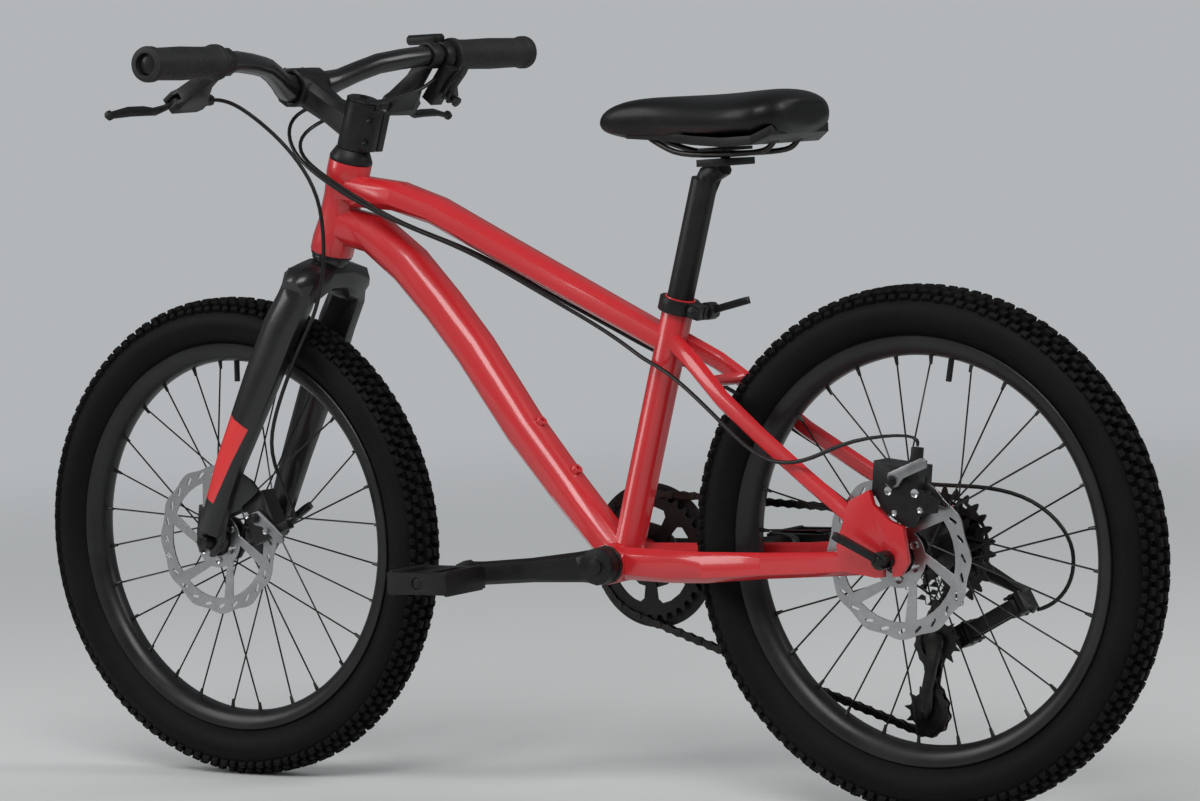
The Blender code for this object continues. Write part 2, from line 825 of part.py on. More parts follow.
def make_grip(side, sign):
    """A ribbed grip that ends in a closed cap, over the end of the bar."""
    bore = BAR_GRIP_RADIUS + 3 * CLEAR
    start = on_bar(197.5 * MM, sign)
    length = GRIP_LENGTH + 1.5 * MM
    room = (BAR_END.y - 197.5 * MM) / BAR_RUN.y + CLEAR
    profile = [
        (0, length + 3 * MM), (15 * MM, length + 3 * MM), (18 * MM, length),
        (18 * MM, length - 5 * MM), (GRIP_RADIUS, length - 8 * MM), (GRIP_RADIUS + 1 * MM, 60 * MM),
        (GRIP_RADIUS, 8 * MM), (18.5 * MM, 5 * MM), (18.5 * MM, 0), (bore, 0), (bore, room),
        (0, room),
    ]
    grip = turned(side + "_grip", profile, 10, COCKPIT, start, bar_turn(sign))
    return finish(grip, "grip rubber")


# Brake levers: the plane that each lever moves in, by how far it is turned down
LEVER_REACH = 66 * MM
LEVERS = {
    "left": (1, 186 * MM, 198 * MM, math.radians(35)),
    "right": (-1, 165.5 * MM, 177 * MM, math.radians(51)),
}


def lever_frame(side):
    """An empty on the lever's pivot, its X away from the bar and its Y outwards."""
    sign, ring, pivot, angle = LEVERS[side]
    away = Vector((math.cos(angle), 0, -math.sin(angle)))
    at = on_bar(ring, sign) + away * LEVER_REACH
    at.y = sign * pivot
    return frame_of(side + "_lever_axis", at, away, (0, sign, 0), COCKPIT)


def make_brake_lever(side):
    """The perch with its ring and barrel, and the lever blade on the perch's pin."""
    sign, ring_y, pivot_y, _ = LEVERS[side]
    axis = lever_frame(side)
    inner = pivot_y - ring_y
    ring = rod(
        side + "_brake_perch", 15 * MM, 13 * MM, 10, COCKPIT, on_bar(ring_y, sign), bar_turn(sign)
    )
    arm = [
        (-54, -inner / MM - 6), (-54, -inner / MM + 6), (-30, -inner / MM + 7), (-12, 3), (-7, 9),
        (6, 9), (9, 4), (8, -34), (4, -40), (-7, -40), (-12, -34), (-34, -inner / MM - 8),
    ]
    body = plate(
        side + " perch body",
        [[(x * MM, y * MM) for x, y in arm]],
        16 * MM,
        axis,
        turn=(0, 0, 0),
    )
    barrel = rod_between(
        side + " barrel", (-1 * MM, -39 * MM, 0), (-1 * MM, -54 * MM, 0), 6 * MM, 8, axis
    )
    unite(ring, body, barrel)
    bore = rod(
        side + " perch bore",
        BAR_GRIP_RADIUS + 3 * CLEAR,
        20 * MM,
        10,
        COCKPIT,
        on_bar(ring_y, sign),
        bar_turn(sign),
    )
    slot = box(
        side + " lever slot", (40 * MM, 32 * MM, 7 * MM), axis, (9 * MM, 0, 0), (0, 0, 0)
    )
    cut(ring, bore, slot)
    pin = rod(side + " lever pin", 2.2 * MM, 17 * MM, 6, axis)
    finish(unite(ring, pin), "black plastic")
    blade = rod(side + "_brake_lever", 6.5 * MM, 6.2 * MM, 10, axis)
    path = [(0, 0), (9, 9), (15, 20), (13, 36), (13, 60), (18, 84)]
    sizes = [(6, 8), (6, 8), (9, 6), (12, 5), (12, 5), (8, 5)]
    stations = [
        (Vector((x, y, 0)) * MM, w * MM, d * MM) for (x, y), (w, d) in zip(path, sizes)
    ]
    reach = loft(side + " lever reach", stations, 6, axis, side=Vector((0, 0, 1)))
    knob = turned(
        side + " lever end",
        [(0, 5.5 * MM), (3.9 * MM, 3.9 * MM), (5.5 * MM, 0), (3.9 * MM, -3.9 * MM), (0, -5.5 * MM)],
        6,
        axis,
        (18 * MM, 86 * MM, 0),
    )
    unite(blade, reach, knob)
    cut(blade, rod(side + " lever bore", 2.8 * MM, 20 * MM, 8, axis))
    finish(blade, "black plastic")
    return axis


SHIFTER_Y = 186 * MM


def make_shifter():
    """Shifter clamp with its case and gear window, and the two thumb levers."""
    centre = on_bar(SHIFTER_Y, -1)
    angle = LEVERS["right"][3]
    away = Vector((math.cos(angle), 0, -math.sin(angle)))
    normal = Vector((math.sin(angle), 0, math.cos(angle)))
    case_at = centre + away * 26 * MM - normal * 17 * MM
    frame = frame_of("shifter_frame", case_at, away, (0, 1, 0), COCKPIT)
    ring = rod("shifter_body", 15 * MM, 12 * MM, 12, COCKPIT, centre, bar_turn(-1))
    case = box("shifter case", (46 * MM, 19 * MM, 15 * MM), frame, (0, 0.5 * MM, 0))
    window = box(
        "gear window",
        (42 * MM, 19 * MM, 11 * MM),
        COCKPIT,
        centre + Vector((22, 0, 18)) * MM,
        bevel=3 * MM,
    )
    post = rod("lever post", 3.5 * MM, 22 * MM, 8, frame, (4 * MM, 0, -17 * MM))
    nut = rod("post nut", 6 * MM, 3 * MM, 8, frame, (4 * MM, 0, -27.5 * MM))
    unite(ring, case, window, post, nut)
    bore = rod(
        "shifter bore", BAR_GRIP_RADIUS + 1.5 * CLEAR, 30 * MM, 12, COCKPIT, centre, bar_turn(-1)
    )
    cut(ring, bore)
    finish(ring, "black plastic")
    thumb = [(7, -6), (2, -8), (-8, -7), (-26, -10), (-36, -9), (-37, -1), (-26, 1), (-8, 7), (6, 6)]
    release = [(6, 6), (-6, 7), (-18, 12), (-28, 12), (-28, 5), (-16, 4), (-4, -7), (6, -6)]
    for name, outline, depth in (
        ("shift_thumb_lever", thumb, -13 * MM),
        ("shift_release_lever", release, -20 * MM),
    ):
        axis = empty(name + "_axis", (4 * MM, 0, depth), axis=frame)
        points = [(x * MM, y * MM) for x, y in outline]
        hole = circle(4 * MM, 8)
        lever = plate(name, [points, hole], 3.4 * MM, axis, turn=(0, 0, 0))
        finish(lever, "black plastic")


def wheel_ring(bm, radius, height, count):
    return [
        bm.verts.new(
            (
                radius * math.cos(math.tau * i / count),
                radius * math.sin(math.tau * i / count),
                height,
            )
        )
        for i in range(count)
    ]


def band(bm, low, high):
    """Faces between two rings, of which the second may have twice the points."""
    count = len(low)
    made = []
    for i in range(count):
        a, b = low[i], low[(i + 1) % count]
        if len(high) == count:
            made.append(bm.faces.new((a, b, high[(i + 1) % count], high[i])))
            continue
        c, d, e = (high[(2 * i + k) % len(high)] for k in range(3))
        bm.faces.new((a, c, d))
        bm.faces.new((a, d, b))
        bm.faces.new((b, d, e))
    return made


# Which of the segments of one tread repeat carry a knob, for each band of the tread
TREAD_PATTERN = ((2,), (0,))


def make_tyre(name, axis, turn):
    """A tyre casing open to the rim, with knobs raised on its crown and shoulders."""
    bm = bmesh.new()
    coarse, fine = WHEEL_SIDES, 2 * WHEEL_SIDES
    crown = (WHEEL_RADIUS - KNOB_HEIGHT + 0.2 * MM) / math.cos(math.pi / fine)
    side = TYRE_HALF_WIDTH
    loops = [
        (-13, RIM_FLANGE_RADIUS + 0.5 * MM, coarse),
        (-side / MM, 231 * MM, coarse), (-19.5, 246.5 * MM, fine), (0, crown, fine),
        (19.5, 246.5 * MM, fine), (side / MM, 231 * MM, coarse),
        (13, RIM_FLANGE_RADIUS + 0.5 * MM, coarse),
        (12, BEAD_RADIUS + 0.5 * MM, coarse), (9, BEAD_RADIUS + 0.5 * MM, coarse),
        (20, 229 * MM, coarse), (0, 244.5 * MM, coarse), (-20, 229 * MM, coarse),
        (-9, BEAD_RADIUS + 0.5 * MM, coarse), (-12, BEAD_RADIUS + 0.5 * MM, coarse),
    ]
    rings = [wheel_ring(bm, r, z * MM, count) for z, r, count in loops]
    tread = []
    for low, high in zip(rings, [*rings[1:], rings[0]]):
        made = band(bm, low, high) if len(low) <= len(high) else band(bm, high, low)
        if len(low) == len(high) == fine:
            tread.append(made)
    bmesh.ops.recalc_face_normals(bm, faces=bm.faces)
    knobs = []
    for segments, faces in zip(TREAD_PATTERN, tread):
        knobs += [faces[i] for i in range(fine) if i % 4 in segments]
    raised = bmesh.ops.extrude_discrete_faces(bm, faces=knobs)["faces"]
    for face in raised:
        out = face.normal.copy()
        middle = face.calc_center_median()
        for vert in face.verts:
            vert.co += out * KNOB_HEIGHT - (vert.co - middle) * 0.18
    mesh = bpy.data.meshes.new(name)
    bm.to_mesh(mesh)
    bm.free()
    return finish(add_object(name, mesh, axis, turn=(0, 0, turn)), "tyre rubber")


def valve(name, radius, start, end, angle, axis):
    out = Vector((math.cos(angle), math.sin(angle), 0))
    return rod_between(name, out * start, out * end, radius, 8, axis)


def make_rim(name, axis, angle):
    half = RIM_HALF_WIDTH
    inner = half - RIM_WALL
    rim = turned(
        name,
        [
            (RIM_OPENING_RADIUS, 4 * MM), (RIM_FLANGE_RADIUS, half), (RIM_FLANGE_RADIUS, inner),
            (BEAD_RADIUS, inner - 1 * MM), (BEAD_RADIUS, 1 * MM - inner),
            (RIM_FLANGE_RADIUS, -inner), (RIM_FLANGE_RADIUS, -half), (RIM_OPENING_RADIUS, -4 * MM),
        ],
        WHEEL_SIDES,
        axis=axis,
        ring=True,
    )
    hole = valve(name + " valve hole", VALVE_RADIUS + 2 * CLEAR, 180 * MM, 210 * MM, angle, axis)
    return finish(cut(rim, hole), "black paint")


def make_inner_tube(name, axis, angle):
    low = BEAD_RADIUS + 0.9 * MM
    body = turned(
        name,
        [
            (low, 8.3 * MM), (227.6 * MM, 18.9 * MM), (243.6 * MM, 0), (227.6 * MM, -18.9 * MM),
            (low, -8.3 * MM),
        ],
        WHEEL_SIDES,
        axis=axis,
        ring=True,
    )
    stem = valve(name + " valve", VALVE_RADIUS, BEAD_RADIUS + 4 * MM, VALVE_TIP_RADIUS, angle, axis)
    return finish(unite(body, stem), "tube rubber")


def spoke_mesh(name, axis, flanges, valve_angle):
    """All the spokes of one wheel, laced to cross, with the valve midway between two of them."""
    bm = bmesh.new()
    per_side = SPOKES // 2
    outer = RIM_OPENING_RADIUS * math.cos(math.pi / WHEEL_SIDES) - 2 * CLEAR
    for flange, height in enumerate(flanges):
        for i in range(per_side):
            hub_angle = valve_angle + math.tau * (i + flange / 2 + 0.25) / per_side
            lean = (1 if i % 2 else -1) * math.tau * 2 / per_side
            side = (1 if height > 0 else -1) * (1.7 if i % 2 else -1.7) * MM
            rim_angle = hub_angle + lean
            start = Vector(
                (
                    SPOKE_CIRCLE_RADIUS * math.cos(hub_angle),
                    SPOKE_CIRCLE_RADIUS * math.sin(hub_angle),
                    height + side,
                )
            )
            end = Vector(
                (
                    outer * math.cos(rim_angle),
                    outer * math.sin(rim_angle),
                    (2.5 if height > 0 else -2.5) * MM,
                )
            )
            run = end - start
            place = Matrix.Translation((start + end) / 2) @ run.to_track_quat(
                "Z", "Y"
            ).to_matrix().to_4x4()
            bmesh.ops.create_cone(
                bm,
                cap_ends=True,
                segments=3,
                radius1=SPOKE_RADIUS,
                radius2=SPOKE_RADIUS,
                depth=run.length,
                matrix=place,
            )
    return object_from(bm, name, axis, (0, 0, 0), (0, 0, 0))


def make_hub(name, axis, profile, flanges, valve_angle):
    """A turned hub shell with its bore, its spokes and the seat of its brake disc."""
    hub = turned(name, profile, 10, axis=axis)
    unite(hub, spoke_mesh(name + " spokes", axis, flanges, valve_angle))
    bore = rod(name + " bore", AXLE_RADIUS + 2 * CLEAR, 160 * MM, 10, axis)
    return finish(cut(hub, bore), "black alloy")


def hub_profile(top, rotor, left, right, bottom, barrel):
    """Profile down the outer side of a hub, with the flanges at left and right."""
    seat = rotor - ROTOR_THICKNESS / 2 - CLEAR
    flange = HUB_FLANGE_RADIUS
    half = 1.7 * MM
    return [
        (0, top), (12 * MM, top), (16.4 * MM, rotor + 2 * MM),
        (16.4 * MM, seat), (22 * MM, seat), (22 * MM, seat - 6 * MM),
        (14 * MM, left + half + 1.5 * MM), (flange, left + half), (flange, left - half),
        (barrel, left - half - 3 * MM), (barrel, right + half + 3 * MM), (flange, right + half),
        (flange, right - half), (12 * MM, bottom), (0, bottom),
    ]


def make_axle(name, axis, width, lever_side, far_side_extra):
    """Axle, cones and locknuts with the skewer, its round nut and its forked head."""
    half = width / 2
    core = rod(name, AXLE_RADIUS, width + 8 * MM, 6, axis)
    lock_faces = [
        rod(
            f"{name} locknut {sign:+d}",
            CONE_RADIUS,
            4.6 * MM,
            6,
            axis,
            (0, 0, sign * (half - 2.6 * MM)),
        )
        for sign in (1, -1)
    ]
    face = half + DROPOUT_THICKNESS + CLEAR
    far = face + far_side_extra
    nut = rod(
        name + " nut", 10 * MM, 11 * MM, 10, axis, (0, 0, -lever_side * (far + 5.5 * MM)), tip=7 * MM
    )
    if lever_side > 0:
        nut.rotation_euler = (math.pi, 0, 0)
    skewer = rod(
        name + " skewer",
        SKEWER_RADIUS,
        far + face + 10 * MM,
        6,
        axis,
        (0, 0, lever_side * (face - far) / 2),
    )
    return unite(core, *lock_faces, nut, skewer), face


def add_cam_head(holder, name, frame, outward_gap):
    """The forked head that a cam lever turns in, with its pin, on the cam's frame."""
    head = rod(
        name + " head", 9 * MM, outward_gap + 5 * MM, 10, frame,
        (0, (5 * MM - outward_gap) / 2, 0), SIDEWAYS,
    )
    slot = box(
        name + " head slot", (40 * MM, 30 * MM, 8 * MM), frame, (0, 15 * MM - 7.4 * MM, 0)
    )
    pin = rod(name + " head pin", 2.2 * MM, 15 * MM, 6, frame)
    unite(holder, head)
    cut(holder, slot)
    return unite(holder, pin)


def make_cam_lever(name, frame, length):
    """A cam lever, closed along its local X, with its round end on the pin."""
    length = length / MM
    outline = [
        (6.5, -1), (14, 1), (length - 8, 3), (length - 1, 6), (length, 10), (length - 6, 11),
        (length - 22, 8.5), (16, 7), (4, 6),
    ]
    blade = plate(
        name,
        [[(x * MM, y * MM) for x, y in outline]],
        7.2 * MM,
        frame,
        turn=(0, 0, 0),
    )
    eye = rod(name + " eye", 6.6 * MM, 7.2 * MM, 12, frame)
    unite(blade, eye)
    cut(blade, rod(name + " bore", 2.8 * MM, 20 * MM, 8, frame))
    return finish(blade, "brushed steel")


def rotor_outline():
    """The waved rim of a brake disc."""
    points = []
    for i in range(24):
        angle = math.tau * i / 24
        wave = (1, -1)[i % 2]
        points.append(
            (
                (ROTOR_RADIUS + 1.6 * MM * (wave - 1)) * math.cos(angle),
                (ROTOR_RADIUS + 1.6 * MM * (wave - 1)) * math.sin(angle),
            )
        )
    return points


def sector(inner, outer, start, end, lean):
    """A window between two radii, from one angle to another, leaning by an angle."""
    points = [(inner * math.cos(a), inner * math.sin(a)) for a in (start, end)]
    points += [
        (outer * math.cos(a + lean), outer * math.sin(a + lean))
        for a in (end, start)
    ]
    return points


def make_rotor(name, axis, height):
    """A brake disc with a waved rim and six leaning windows."""
    outlines = [rotor_outline(), circle(17.4 * MM, 10)]
    sixth = math.tau / 6
    for i in range(6):
        start = i * sixth
        outlines.append(
            sector(30 * MM, 62 * MM, start + 0.16, start + sixth - 0.16, 0.35)
        )
    disc = plate(name, outlines, ROTOR_THICKNESS, axis, (0, 0, height), (0, 0, 0))
    return finish(disc, "brushed steel")


FRONT_ROTOR_Y = FRONT_HUB_WIDTH / 2 - FRONT_ROTOR_INSET
REAR_ROTOR_Y = REAR_HUB_WIDTH / 2 - REAR_ROTOR_INSET


def make_wheels():
    wheels = {
        "front": (FRONT_WHEEL, math.radians(286.5), FRONT_HUB_WIDTH, FRONT_ROTOR_Y, 22, -35, -44.7, 9),
        "rear": (REAR_WHEEL, math.radians(258.5), REAR_HUB_WIDTH, REAR_ROTOR_Y, 34, -18, -22.6, 11),
    }
    # A tyre is mounted at any angle on its rim, so the two treads aren't in step
    tyre_turn = {"front": 0, "rear": math.radians(1)}
    for end, (axis, angle, width, rotor_y, left, right, bottom, barrel) in wheels.items():
        make_tyre(end + "_tyre", axis, tyre_turn[end])
        make_rim(end + "_rim", axis, angle)
        make_inner_tube(end + "_inner_tube", axis, angle)
        profile = hub_profile(
            width / 2 - 5.3 * MM, rotor_y, left * MM, right * MM, bottom * MM, barrel * MM
        )
        make_hub(end + "_hub", axis, profile, (left * MM, right * MM), angle)
        make_rotor(end + "_rotor", axis, rotor_y)


def make_axles():
    """Both axles with their cam levers: the front lever on the right, the rear on the left."""
    front, face = make_axle("front_axle", FRONT_WHEEL, FRONT_HUB_WIDTH, -1, 0)
    frame = frame_of(
        "front_cam_axis",
        FRONT_AXLE + Vector((0, -face - 10 * MM, 0)),
        (math.cos(math.radians(145)), 0, math.sin(math.radians(145))),
        (0, -1, 0),
    )
    hang_from(frame, FRONT_WHEEL)
    finish(add_cam_head(front, "front_axle", frame, 10 * MM), "brushed steel")
    make_cam_lever("front_skewer_lever", frame, 46 * MM)
    rear, face = make_axle("rear_axle", REAR_WHEEL, REAR_HUB_WIDTH, 1, HANGER_THICKNESS + CLEAR)
    frame = frame_of(
        "rear_cam_axis",
        REAR_AXLE + Vector((0, face + 10 * MM, 0)),
        (math.cos(math.radians(27.5)), 0, math.sin(math.radians(27.5))),
        (0, 1, 0),
    )
    finish(add_cam_head(rear, "rear_axle", frame, 10 * MM), "brushed steel")
    make_cam_lever("rear_skewer_lever", frame, 53 * MM)


def hang_from(obj, axis):
    """Gives an object a parent and leaves it where it stands in the world."""
    bpy.context.view_layer.update()
    place = obj.matrix_world.copy()
    obj.parent = axis
    obj.matrix_world = place


HANGER_THICKNESS = 4 * MM


def pitch_radius(teeth):
    return CHAIN_PITCH / 2 / math.sin(math.pi / teeth)


def gear_outline(teeth, phase):
    """Tooth outline of a sprocket that has a roller at the phase angle."""
    radius = pitch_radius(teeth)
    root, tip = radius - 3.9 * MM, radius + 3.4 * MM
    points = []
    for i in range(teeth):
        middle = phase + math.tau * (i + 0.5) / teeth
        for r, across in ((root, -3.0), (tip, 0.0), (root, 3.0)):
            angle = middle + across * MM / r
            points.append((r * math.cos(angle), r * math.sin(angle)))
    return points


def turn_left(v):
    return Vector((-v.y, v.x))


# Chain run in the XZ plane: middle, signed radius and Y of each wheel it passes
GUIDE_AT = Vector((-404, 0, 162)) * MM
TENSION_AT = Vector((-387, 0, 92)) * MM
DRIVEN_Y = SMALLEST_COG_Y + COG_SPACING


def chain_wheels():
    return [
        (Vector((BRACKET.x, BRACKET.z)), pitch_radius(CHAINRING_TEETH), CHAINRING_Y),
        (Vector((REAR_AXLE.x, REAR_AXLE.z)), pitch_radius(COG_TEETH[DRIVEN_COG]), DRIVEN_Y),
        (Vector((GUIDE_AT.x, GUIDE_AT.z)), -pitch_radius(PULLEY_TEETH), DRIVEN_Y),
        (Vector((TENSION_AT.x, TENSION_AT.z)), pitch_radius(PULLEY_TEETH), DRIVEN_Y),
    ]


def chain_pieces():
    """The straight runs and arcs of the chain, in order, as sampling functions."""
    wheels = chain_wheels()
    count = len(wheels)
    runs = []
    for i in range(count):
        (c1, r1, y1), (c2, r2, y2) = wheels[i], wheels[(i + 1) % count]
        gap = c2 - c1
        change = r2 - r1
        length = math.sqrt(gap.length_squared - change * change)
        ahead = (gap * length - turn_left(gap) * change) / gap.length_squared
        left = turn_left(ahead)
        runs.append((c1 - left * r1, c2 - left * r2, ahead, length, y1, y2))
    pieces = []
    for i in range(count):
        start, end, ahead, length, y1, y2 = runs[i]
        pieces.append(("run", length, (start, ahead, y1, y2)))
        centre, radius, y = wheels[(i + 1) % count]
        following = runs[(i + 1) % count][0]
        first = (end - centre).angle_signed(Vector((1, 0)))
        last = (following - centre).angle_signed(Vector((1, 0)))
        sweep = (last - first) % math.tau if radius > 0 else -((first - last) % math.tau)
        pieces.append(("arc", abs(sweep * radius), (centre, abs(radius), first, sweep, y)))
    return pieces


def chain_point(pieces, distance):
    """Position, direction and piece number at a distance along the chain."""
    for number, (kind, length, data) in enumerate(pieces):
        if distance > length and number < len(pieces) - 1:
            distance -= length
            continue
        share = distance / length
        if kind == "run":
            start, ahead, y1, y2 = data
            flat = start + ahead * distance
            y = y1 + (y2 - y1) * share * share * (3 - 2 * share)
            return Vector((flat.x, y, flat.y)), Vector((ahead.x, 0, ahead.y)), number
        centre, radius, first, sweep, y = data
        angle = first + sweep * share
        out = Vector((math.cos(angle), math.sin(angle)))
        ahead = turn_left(out) * math.copysign(1, sweep)
        flat = centre + out * radius
        return Vector((flat.x, y, flat.y)), Vector((ahead.x, 0, ahead.y)), number
    return None


def chain_rollers():
    """The middle of every roller, with the run or arc that it lies on."""
    pieces = chain_pieces()
    total = sum(length for _, length, _ in pieces)
    count = 2 * round(total / CHAIN_PITCH / 2)
    step = total / count
    return pieces, [step * i for i in range(count)]


def is_drawn(pieces, total, place, number):
    """Whether a roller is modelled: all near a wheel, every eighth one between them."""
    if number % 8 == 0:
        return True
    near = (place - CHAIN_PITCH, place, place + CHAIN_PITCH)
    return any(chain_point(pieces, s % total)[2] % 2 == 1 for s in near)


def roller_phase(wheel):
    """The angle, about a wheel of the chain, of the roller nearest its mid wrap."""
    pieces, places = chain_rollers()
    number = 2 * ((wheel - 1) % len(chain_wheels())) + 1
    begin = sum(length for _, length, _ in pieces[:number])
    middle = begin + pieces[number][1] / 2
    place = min(places, key=lambda s: abs(s - middle))
    point, _, _ = chain_point(pieces, place)
    centre = chain_wheels()[wheel][0]
    return math.atan2(point.z - centre.y, point.x - centre.x)


CHAIN_HALF_HEIGHT = 3.2 * MM
CHAIN_ROLLER_HALF = 2.7 * MM
CHAIN_INNER_GAP = 1.5 * MM
CHAIN_OUTER_GAP = 2.4 * MM
CHAIN_PLATE = 1.1 * MM


def make_chain():
    """Every roller and the two rows of plates that join them, as one looped body."""
    pieces, places = chain_rollers()
    total = sum(length for _, length, _ in pieces)
    bm = bmesh.new()
    rings = []
    for i, place in enumerate(places):
        if not is_drawn(pieces, total, place, i):
            continue
        for offset in (-CHAIN_ROLLER_HALF, CHAIN_ROLLER_HALF):
            link = i if offset > 0 else i - 1
            gap = CHAIN_INNER_GAP if link % 2 == 0 else CHAIN_OUTER_GAP
            centre, ahead, _ = chain_point(pieces, (place + offset) % total)
            up = ahead.cross(LEFT).normalized()
            ring = []
            for side in (1, -1):
                for across, rise in ((gap, 1), (gap + CHAIN_PLATE, 0), (gap, -1)):
                    point = centre + LEFT * side * across + up * rise * CHAIN_HALF_HEIGHT
                    ring.append(bm.verts.new(point))
            rings.append(ring)
    count = len(rings)
    for i in range(count):
        a, b = rings[i], rings[(i + 1) % count]
        roller = i % 2 == 0
        for first in (0, 3):
            for k in range(2 if roller else 3):
                m, n = first + k, first + (k + 1) % 3
                bm.faces.new((a[m], a[n], b[n], b[m]))
        if roller:
            bm.faces.new((a[0], b[0], b[3], a[3]))
            bm.faces.new((a[2], b[2], b[5], a[5]))
            bm.faces.new((a[0], a[2], a[5], a[3]))
            bm.faces.new((b[0], b[2], b[5], b[3]))
    chain = object_from(bm, "chain", None, (0, 0, 0), (0, 0, 0))
    return finish(chain, "dark steel")


def make_chainring():
    """The toothed ring with the guard that is riveted to its outer face."""
    outline = gear_outline(CHAINRING_TEETH, roller_phase(0))
    fifth = math.tau / 5
    ring = plate(
        "chainring",
        [outline, circle(SPIDER_BORE, 14)],
        1.8 * MM,
        CRANKS,
        (0, CHAINRING_Y, 0),
    )
    guard = plate(
        "chain guard",
        [circle(74.5 * MM, 24), circle(53 * MM, 12)],
        2.4 * MM,
        CRANKS,
        (0, CHAINRING_Y - 6 * MM, 0),
    )
    rivets = [
        rod(
            f"guard rivet {i + 1}",
            2.6 * MM,
            7.6 * MM,
            4,
            CRANKS,
            (
                57.2 * MM * math.cos(i * fifth),
                CHAINRING_Y - 4 * MM,
                57.2 * MM * math.sin(i * fifth),
            ),
            SIDEWAYS,
        )
        for i in range(5)
    ]
    return finish(unite(ring, guard, *rivets), "black paint")


SPIDER_BORE = 19.6 * MM


def crank_end(sign):
    angle = -CRANK_DROP_ANGLE if sign > 0 else math.pi - CRANK_DROP_ANGLE
    return Vector((math.cos(angle), 0, math.sin(angle))) * CRANK_LENGTH


def make_crank(side, sign):
    """One crank arm with its boss and pedal axle; the right one carries the spindle."""
    end = crank_end(sign)
    inner = 38.6
    boss_width = 15 if sign > 0 else 27.4
    boss = rod(
        side + "_crank", 19 * MM, boss_width * MM, 12, CRANKS,
        (0, sign * (inner + boss_width / 2) * MM, 0), SIDEWAYS,
    )
    root_y = (46 if sign > 0 else 58.5) * MM
    stations = [
        (end * 0.0 + LEFT * sign * root_y, 13 * MM, 36 * MM),
        (end * 0.16 + LEFT * sign * (root_y + 1 * MM), 13 * MM, 31 * MM),
        (end * 0.5 + LEFT * sign * (root_y + (65 * MM - root_y) * 0.55), 12 * MM, 25 * MM),
        (end * 0.85 + LEFT * sign * 65 * MM, 12 * MM, 24 * MM),
        (end + LEFT * sign * 65.5 * MM, 12 * MM, 26 * MM),
    ]
    arm = loft(side + " arm", stations, 6, CRANKS, squareness=3.2)
    tip = rod(side + " eye", 14 * MM, 12.6 * MM, 8, CRANKS, end + LEFT * sign * 65.5 * MM, SIDEWAYS)
    axle = rod(
        side + " pedal axle", 6 * MM, 86 * MM, 8, CRANKS, end + LEFT * sign * 108 * MM, SIDEWAYS
    )
    cap = rod(
        side + " crank bolt", 8 * MM, 4 * MM, 8, CRANKS,
        LEFT * sign * (inner + boss_width + 1) * MM, SIDEWAYS,
    )
    unite(boss, arm, tip, axle)
    if sign < 0:
        spider = rod(
            "spider", 34 * MM, 2.8 * MM, 12, CRANKS, (0, CHAINRING_Y - 2.6 * MM, 0), SIDEWAYS
        )
        spindle = rod(
            "spindle", SPINDLE_RADIUS, 96 * MM, 10, CRANKS, (0, 4 * MM, 0), SIDEWAYS
        )
        unite(boss, spider, cap, spindle)
    else:
        bore = rod(
            "spindle seat", SPINDLE_RADIUS + CLEAR, 14.2 * MM, 10, CRANKS,
            (0, (inner + 6.8) * MM, 0), SIDEWAYS,
        )
        cut(boss, bore)
        unite(boss, cap)
    return finish(boss, "black alloy")


def make_pedal(side, sign):
    """A platform pedal, open inside its frame, that turns on the crank's axle."""
    axis = empty(side + "_pedal_axis", crank_end(sign) + LEFT * sign * 119 * MM, axis=CRANKS)
    body = box(side + "_pedal", (74 * MM, 66 * MM, 22 * MM), axis)
    openings = [
        box(
            f"{side} pedal window {i + 1}",
            (22 * MM, 44 * MM, 40 * MM),
            axis,
            (fore * 20.5 * MM, 0, 0),
        )
        for i, fore in enumerate((1, -1))
    ]
    bore = rod(side + " pedal bore", 6.6 * MM, 80 * MM, 10, axis, turn=SIDEWAYS)
    cut(body, *openings, bore)
    teeth = [
        box(
            f"{side} pedal tread {i + 1}",
            (4 * MM, 60 * MM, 25 * MM),
            axis,
            (fore * 34 * MM, 0, 0),
        )
        for i, fore in enumerate((1, -1))
    ]
    return finish(unite(body, *teeth), "black plastic")


def make_bracket():
    """The cartridge with its spindle hole and the flange at each end of the shell."""
    half = SHELL_WIDTH / 2
    cup, barrel = 20 * MM, SHELL_BORE_RADIUS - 2.6 * CLEAR
    bore = SPINDLE_RADIUS + 3 * CLEAR
    body = turned(
        "bottom_bracket",
        [
            (bore, half + 3.6 * MM), (cup, half + 3.6 * MM), (cup, half + CLEAR),
            (barrel, half + CLEAR), (barrel, -half - CLEAR), (cup, -half - CLEAR),
            (cup, -half - 3.6 * MM), (bore, -half - 3.6 * MM),
        ],
        12,
        at=BRACKET,
        turn=SIDEWAYS,
        ring=True,
    )
    return finish(body, "dark steel")


